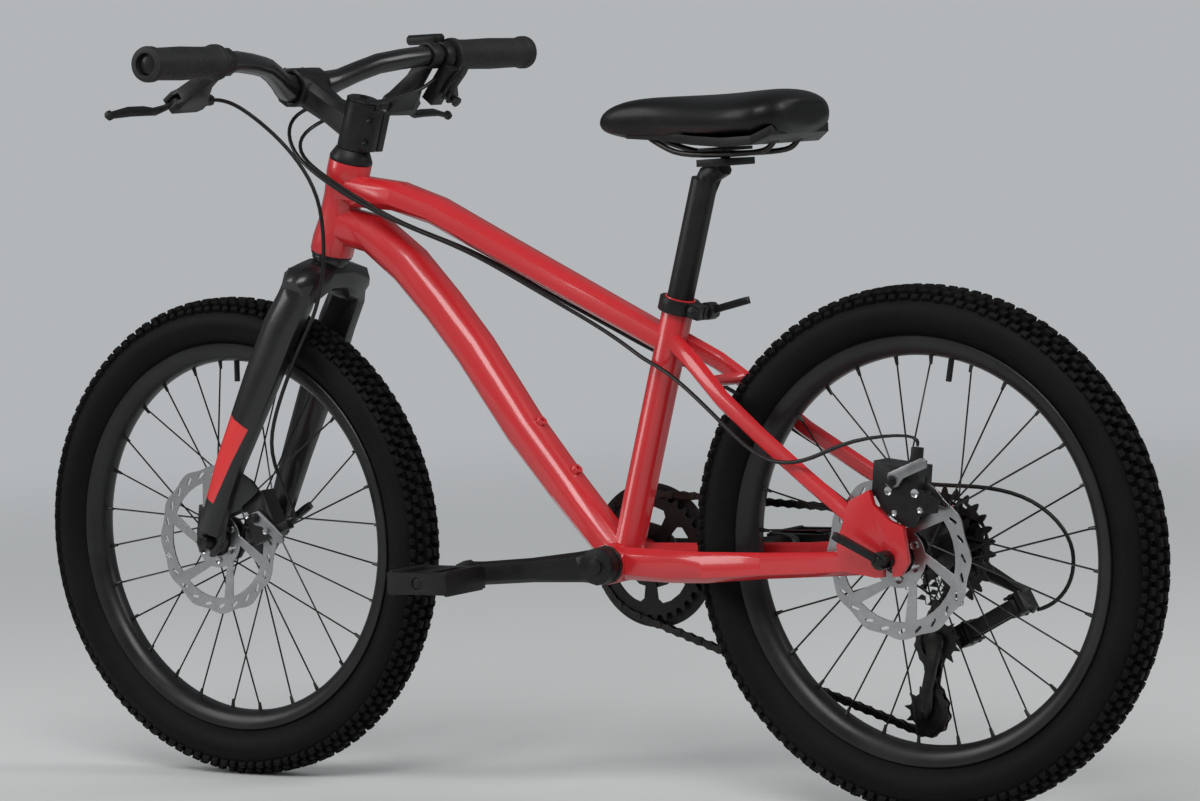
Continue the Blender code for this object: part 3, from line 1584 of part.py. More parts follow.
def make_cassette():
    """Seven sprockets on one sleeve: the driven one toothed, the rest plain discs."""
    low, high = REAR_HUB_WIDTH / 2 - 5.3 * MM, 23.2 * MM
    sleeve = turned(
        "cassette",
        [(0, -high), (16 * MM, -high), (16 * MM, -low), (0, -low)],
        6,
        axis=REAR_WHEEL,
    )
    cogs = []
    for i, teeth in enumerate(COG_TEETH):
        driven = i == DRIVEN_COG
        phase = -roller_phase(1) if driven else 0
        height = SMALLEST_COG_Y + COG_SPACING * (len(COG_TEETH) - 1 - i)
        plain = circle(pitch_radius(teeth) + 2 * MM, teeth // 2)
        outlines = [gear_outline(teeth, phase) if driven else plain]
        cogs.append(
            plate(f"cog {teeth}", outlines, 1.8 * MM, REAR_WHEEL, (0, 0, height), (0, 0, 0))
        )
    unite(sleeve, *cogs)
    bore = rod(
        "cassette bore", CONE_RADIUS + 4 * CLEAR, 90 * MM, 8, REAR_WHEEL, (0, 0, -45 * MM)
    )
    return finish(cut(sleeve, bore), "dark steel")


# The derailleur's own frame: X along its links at rest, Y to the left, Z along the pins
HANGER_BOLT = REAR_AXLE + Vector((-10, 0, -26)) * MM
LINK_AXIS_TILT = math.radians(27.4)
LINK_LENGTH = 60.8 * MM
LINK_REAR = Vector((-478, 0, 196)) * MM
OUTER_LINK_Y = -92 * MM
INNER_LINK_Y = -77 * MM
BODY_Y = -83 * MM


def make_hanger():
    """The bolt-on hanger outside the right dropout, with its lug in the axle slot."""
    outline = [
        (15, 9), (6, 15), (-8, 13), (-13, 2), (-19, -18), (-20, -29), (-13, -37), (-5, -36),
        (2, -28), (6, -14), (14, -8),
    ]
    centre_y = -(REAR_HUB_WIDTH / 2 + DROPOUT_THICKNESS + CLEAR + HANGER_THICKNESS / 2)
    hanger = plate(
        "derailleur_hanger",
        [
            [(x * MM, z * MM) for x, z in outline],
            circle(SKEWER_RADIUS + 2 * CLEAR, 8),
        ],
        HANGER_THICKNESS,
        at=REAR_AXLE + Vector((0, centre_y, 0)),
    )
    lug = box(
        "hanger lug",
        (9.4 * MM, 5 * MM, 8 * MM),
        at=REAR_AXLE + Vector((0, -(REAR_HUB_WIDTH / 2 + 4 * MM), -11 * MM)),
    )
    return finish(unite(hanger, lug), "dark steel")


def make_derailleur():
    b_axis = empty("hanger_bolt_axis", HANGER_BOLT)
    links = empty("link_frame", LINK_REAR - HANGER_BOLT, (0, LINK_AXIS_TILT, 0), b_axis)
    make_derailleur_body(b_axis, links)
    outer = empty("outer_link_axis", (0, OUTER_LINK_Y, 0), axis=links)
    inner = empty("inner_link_axis", (0, INNER_LINK_Y, 0), axis=links)
    for name, axis in (("derailleur_outer_link", outer), ("derailleur_inner_link", inner)):
        make_link(name, axis)
    knuckle = empty("knuckle_frame", (LINK_LENGTH, 0, 0), axis=outer)
    hang_from(knuckle, outer)
    knuckle.location = (LINK_LENGTH, -OUTER_LINK_Y, 0)
    make_knuckle(knuckle)
    cage_axis = empty("cage_axis", GUIDE_AT)
    hang_from(cage_axis, knuckle)
    make_cage(cage_axis)
    for name, at, wheel in (
        ("guide_pulley", GUIDE_AT, 2),
        ("tension_pulley", TENSION_AT, 3),
    ):
        make_pulley(name, at, wheel, cage_axis)


CHEEK = 2.6 * MM
LINK_HALF = 8 * MM
PIN_RADIUS = 1.8 * MM


def pivot_block(name, axis, back, along, front):
    """A web with two cheeks that hold both link pins, in the links' frame."""
    middle = (OUTER_LINK_Y + INNER_LINK_Y) / 2
    width = 26 * MM
    web = box(
        name, (6 * MM, width, 2 * (LINK_HALF + CHEEK + CLEAR)), axis, (back, middle, 0)
    )
    low, high = min(back, front), max(back, front)
    cheeks = [
        box(
            f"{name} cheek {sign:+d}",
            (high - low, width, CHEEK),
            axis,
            ((low + high) / 2, middle, sign * (LINK_HALF + CLEAR + CHEEK / 2)),
        )
        for sign in (1, -1)
    ]
    pins = [
        rod(f"{name} pin {i + 1}", PIN_RADIUS, 2 * (LINK_HALF + CHEEK) + 3 * MM, 6, axis, (along, y, 0))
        for i, y in enumerate((OUTER_LINK_Y, INNER_LINK_Y))
    ]
    return unite(web, *cheeks, *pins)


def make_derailleur_body(b_axis, links):
    block = pivot_block("derailleur_body", links, -10 * MM, 0, 5 * MM)
    knuckle = rod("hanger bolt", 11 * MM, 10 * MM, 10, b_axis, (0, BODY_Y, 0), SIDEWAYS)
    to_block = LINK_REAR - HANGER_BOLT
    arm = loft(
        "derailleur body arm",
        [
            (Vector((0, BODY_Y, 0)), 9 * MM, 20 * MM),
            (to_block * 0.5 + Vector((-6 * MM, BODY_Y, 6 * MM)), 11 * MM, 14 * MM),
            (to_block + Vector((-8 * MM, BODY_Y, 13 * MM)), 14 * MM, 10 * MM),
        ],
        6,
        b_axis,
    )
    stop = rod_between(
        "housing stop",
        to_block + Vector((-8 * MM, BODY_Y, 2 * MM)),
        to_block + Vector((-19 * MM, BODY_Y, -4 * MM)),
        4.5 * MM,
        8,
        b_axis,
    )
    return finish(unite(block, knuckle, arm, stop), "black alloy")


def make_link(name, axis):
    """One link of the parallelogram, with a barrel for a pin at each end."""
    bar = box(name, (LINK_LENGTH, 3 * MM, 2 * LINK_HALF - 1 * MM), axis, (LINK_LENGTH / 2, 0, 0))
    barrels = [
        rod(f"{name} barrel {i + 1}", 3.6 * MM, 2 * LINK_HALF, 6, axis, (x, 0, 0))
        for i, x in enumerate((0, LINK_LENGTH))
    ]
    unite(bar, *barrels)
    bores = [
        rod(f"{name} bore {i + 1}", PIN_RADIUS + 1.5 * CLEAR, 40 * MM, 6, axis, (x, 0, 0))
        for i, x in enumerate((0, LINK_LENGTH))
    ]
    return finish(cut(bar, *bores), "black alloy")


def make_knuckle(axis):
    block = pivot_block("derailleur_knuckle", axis, 10 * MM, 0, -5 * MM)
    barrel_at = Vector((20.5 * MM, -73.5 * MM, 3.9 * MM))
    barrel = rod("knuckle barrel", 9 * MM, 17 * MM, 10, axis, barrel_at, SIDEWAYS)
    neck = box("knuckle neck", (14 * MM, 14 * MM, 12 * MM), axis, (13 * MM, -76 * MM, 2 * MM))
    unite(block, barrel, neck)
    bore = rod("knuckle bore", 4.6 * MM, 15 * MM, 8, axis, barrel_at + LEFT * 2.5 * MM, SIDEWAYS)
    return finish(cut(block, bore), "black alloy")


def make_cage(axis):
    """Both cage plates with the pulley bolts between them and the pivot pin."""
    run = TENSION_AT - GUIDE_AT
    outline = []
    length = run.length
    down = run.normalized()
    across = Vector((-down.z, 0, down.x))
    for along, half in ((-9, 5), (-3, 9), (8, 9), (26, 6), (50, 6.5), (66, 9), (80, 5)):
        outline.append((along, half))
    left = [down * a * MM + across * h * MM for a, h in outline]
    right = [down * a * MM - across * h * MM for a, h in reversed(outline)]
    points = [(p.x, p.z) for p in [*left, *right]]
    outer = plate("derailleur_cage", [points], 2 * MM, axis, (0, DRIVEN_Y - 6 * MM, 0))
    inner = plate("inner cage plate", [points], 2 * MM, axis, (0, DRIVEN_Y + 6 * MM, 0))
    bolts = [
        rod(name, 2.4 * MM, 15 * MM, 6, axis, (at.x, DRIVEN_Y, at.z), SIDEWAYS)
        for name, at in (("guide bolt", run * 0), ("tension bolt", run))
    ]
    pin = rod("cage pin", 4 * MM, 14 * MM, 8, axis, (0, DRIVEN_Y - 13.2 * MM, 0), SIDEWAYS)
    return finish(unite(outer, inner, *bolts, pin), "dark steel")


def make_pulley(name, at, wheel, cage_axis):
    axis = empty(name + "_axis", at - GUIDE_AT + LEFT * DRIVEN_Y, axis=cage_axis)
    outlines = [gear_outline(PULLEY_TEETH, roller_phase(wheel)), circle(3.2 * MM, 8)]
    pulley = plate(name, outlines, 2.2 * MM, axis)
    return finish(pulley, "black plastic")


CALIPERS = {
    "front": (70 * MM, math.radians(-50)),
    "rear": (74.5 * MM, math.radians(-7)),
}


ADAPTER_THICKNESS = 4.6 * MM
ADAPTER = [
    (15, 62), (8, 50), (-6, 38), (-17, 31), (-27, 30), (-34, 43), (-52, 44), (-55, 56), (-40, 64),
]


def caliper_adapter():
    """The plate that carries the rear caliper on the inner face of the left dropout."""
    return plate(
        "caliper adapter",
        [[(x * MM, z * MM) for x, z in ADAPTER]],
        ADAPTER_THICKNESS,
        at=REAR_AXLE + LEFT * (REAR_HUB_WIDTH / 2 - CLEAR - ADAPTER_THICKNESS / 2),
    )


def make_caliper(end, axle_at, rotor_y, outer, parent):
    """A disc caliper with its slot and actuating arm, above the disc's edge.

    Its frame has Z out from the axle and Y to the left, and its outer face at outer.
    """
    reach, lean = CALIPERS[end]
    out = Vector((math.sin(lean), 0, math.cos(lean)))
    along = Vector((math.cos(lean), 0, -math.sin(lean)))
    frame = frame_of(
        end + "_caliper_frame", axle_at + out * reach + LEFT * rotor_y, along, (0, 1, 0), parent
    )
    body = box(
        end + "_caliper",
        (50 * MM, outer + 11 * MM, 34 * MM),
        frame,
        (0, (outer - 11 * MM) / 2, 0),
    )
    hump = rod(end + " piston case", 14 * MM, outer + 15 * MM, 8, frame,
               (0, (outer - 15 * MM) / 2, 1 * MM), SIDEWAYS)
    boss = rod(end + " arm boss", 9 * MM, 4 * MM, 10, frame, (0, outer + 1 * MM, 1 * MM), SIDEWAYS)
    pin = rod(end + " arm pin", 3.4 * MM, 11 * MM, 8, frame, (0, outer + 5 * MM, 1 * MM), SIDEWAYS)
    nut = rod(end + " arm nut", 5.5 * MM, 2.5 * MM, 6, frame, (0, outer + 8.2 * MM, 1 * MM), SIDEWAYS)
    stop = box(
        end + " housing stop", (9 * MM, 9 * MM, 26 * MM), frame,
        (-20.5 * MM, outer - 3 * MM, 22 * MM),
    )
    unite(body, hump, boss, pin, nut, stop)
    if end == "rear":
        unite(body, caliper_adapter())
    slot = box(
        end + " disc slot", (70 * MM, 2.7 * MM, 60 * MM), frame,
        (0, 0, ROTOR_RADIUS - reach + 1 * MM - 30 * MM),
    )
    finish(cut(body, slot), "black alloy")
    axis = empty(end + "_arm_axis", (0, outer + 4.9 * MM, 1 * MM), (0, 0, 0), frame)
    outline = [(7, -4), (5, 7), (-2, 11), (-30, 26), (-36, 24), (-36, 17), (-12, 4), (-7, -4), (0, -8)]
    arm = plate(
        end + "_caliper_arm",
        [[(x * MM, z * MM) for x, z in outline], circle(3.9 * MM, 8)],
        3.2 * MM,
        axis,
    )
    return finish(arm, "grey alloy")


# The saddle by stations back from its nose: half depth is above and below the middle
SADDLE_STATIONS = [
    (-73.5, 12, 679, 10), (-80, 28, 684, 27), (-108, 36, 686, 41), (-150, 46, 685, 45),
    (-200, 82, 682, 50), (-248, 124, 681, 54), (-288, 140, 683, 56), (-306, 120, 686, 44),
    (-315, 84, 685, 28),
]


def saddle_loft(name, narrower, low, high, longer):
    """A square-edged loft under the saddle, between two heights above its underside."""
    stations = []
    used = SADDLE_STATIONS[2:8]
    for i, (x, width, middle, depth) in enumerate(used):
        end = (i == 0) - (i == len(used) - 1)
        middle_height = middle - depth / 2 + (low + high) / 2
        stations.append(
            (
                Vector((x + end * longer, 0, middle_height)) * MM,
                (width - narrower) * MM,
                (high - low) * MM,
            )
        )
    return loft(name, stations, 4, SADDLE, squareness=100, up=Vector((0, 0, 1)))


def make_saddle():
    """Cover, base and rails in world directions, carried by the seatpost."""
    cover = loft(
        "saddle_cover",
        [(Vector((x, 0, z)) * MM, w * MM, d * MM) for x, w, z, d in SADDLE_STATIONS],
        12,
        SADDLE,
        squareness=2.3,
    )
    room = saddle_loft("base room", 13.2, -14, 10.4, 0.4)
    finish(cut(cover, room), "saddle vinyl")
    base = saddle_loft("saddle_base", 14, 1, 10, 0)
    rail = [
        (-293, 22, 664), (-285, 22, 651), (-268, 22, 647), (-182, 22, 647), (-156, 13, 656),
        (-128, 5, 668),
    ]
    half = [Vector(p) * MM for p in rail]
    path = half + [Vector((p.x, -p.y, p.z)) for p in reversed(half)]
    rails = tube("saddle_rails", path, 3.5 * MM, 1, SADDLE)
    finish(rails, "dark steel")
    clearance = as_mesh(tube("rail room", path, 4.4 * MM, 1, SADDLE))
    return finish(cut(base, clearance), "black plastic")


def make_seatpost():
    """The post, its top bend and the clamp that holds the rails, as one piece."""
    post = rod(
        "seatpost",
        SEATPOST_RADIUS,
        SEATPOST_ABOVE_COLLAR + SEATPOST_IN_TUBE,
        14,
        SEATPOST,
        (0, 0, (SEATPOST_ABOVE_COLLAR - SEATPOST_IN_TUBE) / 2),
    )
    clamp_at = Vector((-218, 0, 647)) * MM
    top = SEAT_TOP + SEAT_UP * SEATPOST_ABOVE_COLLAR
    neck = loft(
        "post neck",
        [
            (top - SEAT_UP * 16 * MM, 25 * MM, 25 * MM),
            (top + Vector((-6, 0, 4)) * MM, 25 * MM, 22 * MM),
            (clamp_at + Vector((2, 0, -12)) * MM, 24 * MM, 18 * MM),
        ],
        8,
        SADDLE,
    )
    cradle = box("cradle", (34 * MM, 54 * MM, 7 * MM), SADDLE, clamp_at - Vector((0, 0, 7.4 * MM)))
    bolt = rod("clamp bolt", 5 * MM, 12 * MM, 8, SADDLE, clamp_at)
    lid = box("clamp lid", (30 * MM, 54 * MM, 3.4 * MM), SADDLE, clamp_at + Vector((0, 0, 5.6 * MM)))
    return finish(unite(post, neck, cradle, bolt, lid), "black alloy")


def make_collar():
    """The clamp round the top of the seat tube, slit at the back, with its cam lever."""
    inner = SEAT_TUBE_RADIUS + 2 * CLEAR
    ring = turned(
        "seat_collar",
        [
            (inner, -1 * MM), (20.5 * MM, -1 * MM), (20.5 * MM, -15 * MM), (inner, -15 * MM),
        ],
        12,
        axis=SEAT,
        ring=True,
    )
    ears = box("collar ears", (14 * MM, 20 * MM, 14 * MM), SEAT, (-23.5 * MM, 0, -8 * MM))
    unite(ring, ears)
    cut(ring, box("collar slit", (24 * MM, 2 * MM, 30 * MM), SEAT, (-27 * MM, 0, -8 * MM)))
    bolt = rod("collar bolt", 3 * MM, 32 * MM, 6, SEAT, (-25 * MM, -1 * MM, -8 * MM), SIDEWAYS)
    nut = rod("collar nut", 6 * MM, 5 * MM, 6, SEAT, (-25 * MM, 12.4 * MM, -8 * MM), SIDEWAYS)
    unite(ring, bolt, nut)
    frame = frame_of(
        "collar_cam_axis", (-25 * MM, -20.4 * MM, -8 * MM), (-0.85, 0, 0.5), (0, -1, 0), SEAT
    )
    finish(add_cam_head(ring, "collar", frame, 10 * MM), "black alloy")
    make_cam_lever("seat_collar_lever", frame, 42 * MM)


CABLE_RADIUS = 2.5 * MM


def cable(name, points, detail=1):
    path = [Vector(p) * MM for p in points]
    return finish(tube(name, path, CABLE_RADIUS, detail), "cable housing")


def barrel_end(side):
    """Where the cable leaves the barrel of a brake lever, in millimetres."""
    bpy.context.view_layer.update()
    frame = bpy.data.objects[side + "_lever_axis"].matrix_world
    return tuple(frame @ (Vector((-1, -54.4, 0)) * MM) / MM)


def arm_end(end):
    """The top of the housing stop on a caliper, in millimetres."""
    bpy.context.view_layer.update()
    frame = bpy.data.objects[end + "_caliper_frame"].matrix_world
    outer = CALIPER_OUTER[end]
    return frame @ (Vector((-20.5 * MM, outer - 3 * MM, 35.4 * MM))) / MM, frame


CALIPER_OUTER = {"front": 9 * MM, "rear": 15 * MM}


def in_steering(ahead, across, up):
    """A point of the fork's frame in world millimetres."""
    return tuple((HEAD_LOW + (HEAD_AHEAD * ahead + HEAD_UP * up) * MM) / MM + LEFT * across)


def make_cables():
    """Front brake, rear brake and shift cables, each with its housing held all along."""
    stop, frame = arm_end("front")
    out = frame.to_3x3() @ Vector((0, 0, 1))
    left = barrel_end("left")
    front = [
        left, (left[0] + 2, left[1] - 16, left[2]), (left[0] + 2, 105, 722), (312, 82, 708),
        (288, 68, 682), (266, 58, 650), (252, 50, 612), in_steering(-27, 45, 0),
        in_steering(-30, 46, -30), in_steering(-29, 47, -60), in_steering(-20, 48, -92),
        in_steering(-12, 49, -135), in_steering(-6, 50, -185), in_steering(-12, 49, -225),
        tuple(stop + out * 14), tuple(stop),
    ]
    cable("front_brake_cable", front)
    stop, frame = arm_end("rear")
    out = frame.to_3x3() @ Vector((0, 0, 1))
    right = barrel_end("right")
    rear = [
        right, (right[0] + 3, right[1] + 16, right[2]), (right[0] + 8, -60, 722), (334, -22, 712),
        (328, 8, 694), (304, 30, 668), (272, 36, 645), (228, 33, 618), (172, 27, 590),
        *[(x, 10, z) for x, z in UNDER_TOP_TUBE[:4]], (-102, 15, 458), (-122, 21, 447),
        (-150, 25, 436), (-186, 39, 418), (-232, 51, 386), (-262, 56, 362), (-300, 62, 345),
        (-345, 66, 352), (-385, 66, 372), tuple(stop + out * 14), tuple(stop),
    ]
    cable("rear_brake_cable", rear)
    shift = [
        (263, -174, 740), (264, -150, 728), (274, -120, 721), (290, -84, 714), (314, -50, 704),
        (326, -14, 688), (308, 16, 668), (276, 28, 648), (226, 27, 619), (172, 19, 588),
        (110, 3, 564.5), (60, 1, 541.5), (0, -1, 510.5), (-60, -6, 481), (-98, -14, 459),
        (-120, -21, 447), (-150, -25, 434), (-190, -41, 408),
        (-232, -53, 380), (-292, -64, 340), (-345, -73, 318), (-400, -82, 312), (-450, -86, 312),
        (-500, -87, 300), (-534, -87, 271), (-543, -86, 243), (-536, -85, 215), (-517, -84, 197),
        (-498.5, -83, 191.5),
    ]
    cable("shift_cable", shift)


# The brake cable's run below the top tube, in millimetres in the plane of the frame
UNDER_TOP_TUBE = [(110, 564.5), (60, 541.5), (0, 510.5), (-60, 481)]


STEERING = empty("steering_axis", HEAD_LOW, (0, HEAD_TILT, 0))
COCKPIT = empty("cockpit_frame", BAR_AT_STEERING, (0, -HEAD_TILT, 0), STEERING)
FRONT_WHEEL = empty(
    "front_axle_axis",
    Vector((FORK_OFFSET, 0, -FORK_LENGTH)),
    (-math.pi / 2, 0, 0),
    STEERING,
)
REAR_WHEEL = empty("rear_axle_axis", REAR_AXLE, (-math.pi / 2, 0, 0))
CRANKS = empty("bracket_axis", BRACKET)
SEAT = empty("seat_axis", SEAT_TOP, (0, SEAT_TILT, 0))
SEATPOST = empty("seatpost_axis", SEAT_TOP, (0, SEAT_TILT, 0))
SADDLE = empty("saddle_frame", (0, 0, 0))
hang_from(SADDLE, SEATPOST)
make_frame()
make_fork()
make_headset()
make_stem()
make_faceplate()
make_top_cap()
make_handlebar()
for hand, hand_sign in (("left", 1), ("right", -1)):
    make_grip(hand, hand_sign)
    make_brake_lever(hand)
make_shifter()
make_wheels()
make_axles()
make_bracket()
make_chainring()
make_crank("left", 1)
make_crank("right", -1)
make_pedal("left", 1)
make_pedal("right", -1)
make_chain()
make_cassette()
make_hanger()
make_derailleur()
make_caliper(
    "front",
    Vector((FORK_OFFSET, 0, -FORK_LENGTH)),
    FRONT_ROTOR_Y,
    CALIPER_OUTER["front"],
    STEERING,
)
make_caliper("rear", REAR_AXLE, REAR_ROTOR_Y, CALIPER_OUTER["rear"], None)
make_saddle()
make_seatpost()
make_collar()
make_cables()
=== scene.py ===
# %% [markdown]
# # Dressing a kids mountain bike
#
# The bike arrives as a plain engineering model: sixty solids with flat facets
# and one colour each. In this lesson it gets its looks. Round pieces are
# smoothed or made again with more sides, the tyres get their tread, the chain
# its links, and each finish, from red paint to knobbly rubber, is built from
# nodes. Nothing is moved: every new piece stands where the solid one stood.

# %% Load the solid bike
import json
import math

import bmesh
import bpy
from mathutils import Matrix, Vector


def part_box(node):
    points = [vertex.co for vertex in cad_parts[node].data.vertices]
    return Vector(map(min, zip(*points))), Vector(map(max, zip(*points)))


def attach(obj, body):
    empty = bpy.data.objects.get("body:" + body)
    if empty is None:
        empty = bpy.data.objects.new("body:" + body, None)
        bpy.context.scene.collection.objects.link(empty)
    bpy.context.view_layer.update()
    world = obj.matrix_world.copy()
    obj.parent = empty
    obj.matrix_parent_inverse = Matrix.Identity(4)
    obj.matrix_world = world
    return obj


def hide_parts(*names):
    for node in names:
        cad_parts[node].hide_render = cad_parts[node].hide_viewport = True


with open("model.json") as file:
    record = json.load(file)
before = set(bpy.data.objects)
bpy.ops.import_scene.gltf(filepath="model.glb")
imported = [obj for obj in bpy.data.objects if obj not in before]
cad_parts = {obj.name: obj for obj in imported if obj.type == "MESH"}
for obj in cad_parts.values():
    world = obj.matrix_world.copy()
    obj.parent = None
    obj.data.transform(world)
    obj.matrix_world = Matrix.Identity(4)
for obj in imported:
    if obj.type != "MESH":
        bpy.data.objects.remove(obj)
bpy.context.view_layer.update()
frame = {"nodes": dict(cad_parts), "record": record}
solids = frame["nodes"]
MM = 0.001
# Corners nearer than this, in metres, are one corner
MERGE = 0.00001
body_of = {
    node: body
    for body, members in frame["record"]["behaviour"]["bodies"].items()
    for node in members
}
print(len(solids), "solids on", len(set(body_of.values())), "moving bodies")

# %% [markdown]
# ## Places that the bike hangs from
#
# A bike is drawn around its two axles, its crank axle and its steering axis.
# The names below give those places in metres. +X points forwards, +Y to the
# rider's left and +Z up, and the origin lies on the ground between the wheels.

# %% Main places and sizes
LEFT = Vector((0, 1, 0))
FRONT_AXLE = Vector((427, 0, 258)) * MM
REAR_AXLE = Vector((-427, 0, 258)) * MM
BRACKET = Vector((-75, 0, 241)) * MM
STEERING_FOOT = Vector((282.456, 0, 560.782)) * MM
STEERING_UP = Vector((-0.317305, 0, 0.948324))
STEERING_AHEAD = Vector((0.948324, 0, 0.317305))
BAR_CLAMP = Vector((309.01, 0, 735.75)) * MM
print("Wheelbase", round((FRONT_AXLE - REAR_AXLE).length, 3), "m")


def in_steering(ahead, across, up):
    """A point given in millimetres along and beside the steering axis."""
    along = STEERING_AHEAD * ahead + LEFT * across + STEERING_UP * up
    return STEERING_FOOT + along * MM


# %% [markdown]
# ## The camera
#
# The portrait was taken with a long lens from behind the bike's left side, at
# about the height of its handlebar. A long lens keeps the two wheels nearly
# the same size. The camera is turned by three angles: where it looks, how far
# it looks down, and how far it leans.

# %% Camera
CAMERA_AT = Vector((-2.520, 3.529, 0.704))
CAMERA_YAW = math.radians(34.96)
CAMERA_PITCH = math.radians(-3.99)
CAMERA_ROLL = math.radians(-2.86)
CAMERA_LENS = 127.98

look = Vector(
    (
        math.sin(CAMERA_YAW) * math.cos(CAMERA_PITCH),
        -math.cos(CAMERA_YAW) * math.cos(CAMERA_PITCH),
        math.sin(CAMERA_PITCH),
    )
)
level_right = look.cross(Vector((0, 0, 1))).normalized()
level_up = level_right.cross(look)
right = level_right * math.cos(CAMERA_ROLL) + level_up * math.sin(CAMERA_ROLL)
up = level_up * math.cos(CAMERA_ROLL) - level_right * math.sin(CAMERA_ROLL)
bpy.ops.object.camera_add(location=CAMERA_AT)
camera = bpy.context.object
camera.data.lens = CAMERA_LENS
camera.data.sensor_width = 36
camera.data.clip_end = 100
turned_camera = Matrix((right, up, -look)).transposed().to_4x4()
turned_camera.translation = CAMERA_AT
camera.matrix_world = turned_camera
bpy.context.scene.camera = camera
print("The lens is", CAMERA_LENS, "mm long")

# %% [markdown]
# ## Shared surface effects
#
# Real surfaces are never one flat colour. Three small effects serve all the
# finishes here, so each is built once, as a node group with named inputs and
# outputs, and then placed in a material with its own numbers. *Grain* is fine
# random relief, *patches* are slow changes of tone, and *leather* is the
# small cells of vinyl. All of them read Object coordinates, because each
# piece's place is in its mesh, so a pattern keeps one scale over the bike.


# %% Helpers for node groups
def new_group(name, inputs, outputs):
    """An empty shader group with named number inputs and outputs."""
    group = bpy.data.node_groups.new(name, "ShaderNodeTree")
    for label, value in inputs.items():
        socket = group.interface.new_socket(
            label, in_out="INPUT", socket_type="NodeSocketFloat"
        )
        socket.default_value = value
    for label in outputs:
        group.interface.new_socket(label, in_out="OUTPUT", socket_type="NodeSocketFloat")
    start = group.nodes.new("NodeGroupInput")
    end = group.nodes.new("NodeGroupOutput")
    place = group.nodes.new("ShaderNodeTexCoord")
    return group, start, end, place


def spread(group, source, low, high):
    """Stretches a noise value to a full mask from 0 to 1."""
    node = group.nodes.new("ShaderNodeMapRange")
    node.inputs["From Min"].default_value = low
    node.inputs["From Max"].default_value = high
    group.links.new(source, node.inputs["Value"])
    return node.outputs["Result"]


# %% Grain: fine relief, finer than the eye can follow
def make_grain():
    group, start, end, place = new_group("grain", {"Scale": 900, "Detail": 3}, ["Relief"])
    noise = group.nodes.new("ShaderNodeTexNoise")
    group.links.new(place.outputs["Object"], noise.inputs["Vector"])
    group.links.new(start.outputs["Scale"], noise.inputs["Scale"])
    group.links.new(start.outputs["Detail"], noise.inputs["Detail"])
    group.links.new(spread(group, noise.outputs["Fac"], 0.3, 0.7), end.inputs["Relief"])
    return group


# %% Patches: slow changes of tone, as from handling and dust
def make_patches():
    group, start, end, place = new_group("patches", {"Scale": 14}, ["Mask"])
    noise = group.nodes.new("ShaderNodeTexNoise")
    noise.inputs["Detail"].default_value = 6
    noise.inputs["Roughness"].default_value = 0.65
    group.links.new(place.outputs["Object"], noise.inputs["Vector"])
    group.links.new(start.outputs["Scale"], noise.inputs["Scale"])
    group.links.new(spread(group, noise.outputs["Fac"], 0.38, 0.68), end.inputs["Mask"])
    return group


# %% Leather: the small closed cells of saddle vinyl
def make_leather():
    group, start, end, place = new_group("leather", {"Scale": 420}, ["Relief"])
    cells = group.nodes.new("ShaderNodeTexVoronoi")
    cells.feature = "DISTANCE_TO_EDGE"
    group.links.new(place.outputs["Object"], cells.inputs["Vector"])
    group.links.new(start.outputs["Scale"], cells.inputs["Scale"])
    group.links.new(spread(group, cells.outputs["Distance"], 0, 0.25), end.inputs["Relief"])
    return group


GRAIN = make_grain()
PATCHES = make_patches()
LEATHER = make_leather()
print("Effects ready:", GRAIN.name, PATCHES.name, LEATHER.name)

# %% [markdown]
# ## Building a finish
#
# Every finish starts as a Principled shader with its plain numbers on its own
# sockets. Two colours are mixed by the slow patches, so no piece is one flat
# tone, and the same mask moves the roughness a little, as fingers and dust do.
# The grain goes into a Bump node. Its distance is in metres: paint has a few
# hundredths of a millimetre of relief, rubber has more.


# %% The finish builder
def group_node(material, group, **values):
    node = material.node_tree.nodes.new("ShaderNodeGroup")
    node.node_tree = group
    for label, value in values.items():
        node.inputs[label].default_value = value
    return node


def new_finish(
    name, colour, second, roughness, metallic=0.0, patch=14, spread_of=0.1, specular=0.5
):
    """A material with two mixed tones and a roughness that wanders."""
    material = bpy.data.materials.new(name)
    material.use_nodes = True
    nodes, links = material.node_tree.nodes, material.node_tree.links
    shader = nodes["Principled BSDF"]
    shader.inputs["Metallic"].default_value = metallic
    shader.inputs["Specular IOR Level"].default_value = specular
    patches = group_node(material, PATCHES, Scale=patch)
    tone = nodes.new("ShaderNodeMix")
    tone.data_type = "RGBA"
    tone.inputs["A"].default_value = (*colour, 1)
    tone.inputs["B"].default_value = (*second, 1)
    links.new(patches.outputs["Mask"], tone.inputs["Factor"])
    links.new(tone.outputs["Result"], shader.inputs["Base Color"])
    gloss = nodes.new("ShaderNodeMapRange")
    gloss.inputs["To Min"].default_value = roughness - spread_of / 2
    gloss.inputs["To Max"].default_value = roughness + spread_of / 2
    links.new(patches.outputs["Mask"], gloss.inputs["Value"])
    links.new(gloss.outputs["Result"], shader.inputs["Roughness"])
    return material


def add_relief(material, source, depth):
    """Feeds a height into the material's bump, with its depth in metres."""
    nodes, links = material.node_tree.nodes, material.node_tree.links
    bump = nodes.new("ShaderNodeBump")
    bump.inputs["Distance"].default_value = depth
    links.new(source, bump.inputs["Height"])
    links.new(bump.outputs["Normal"], nodes["Principled BSDF"].inputs["Normal"])
    return bump


def add_grain(material, scale, depth, detail=3):
    grain = group_node(material, GRAIN, Scale=scale, Detail=detail)
    add_relief(material, grain.outputs["Relief"], depth)
    return material


def set_coat(material, weight, roughness):
    shader = material.node_tree.nodes["Principled BSDF"]
    shader.inputs["Coat Weight"].default_value = weight
    shader.inputs["Coat Roughness"].default_value = roughness
    return material


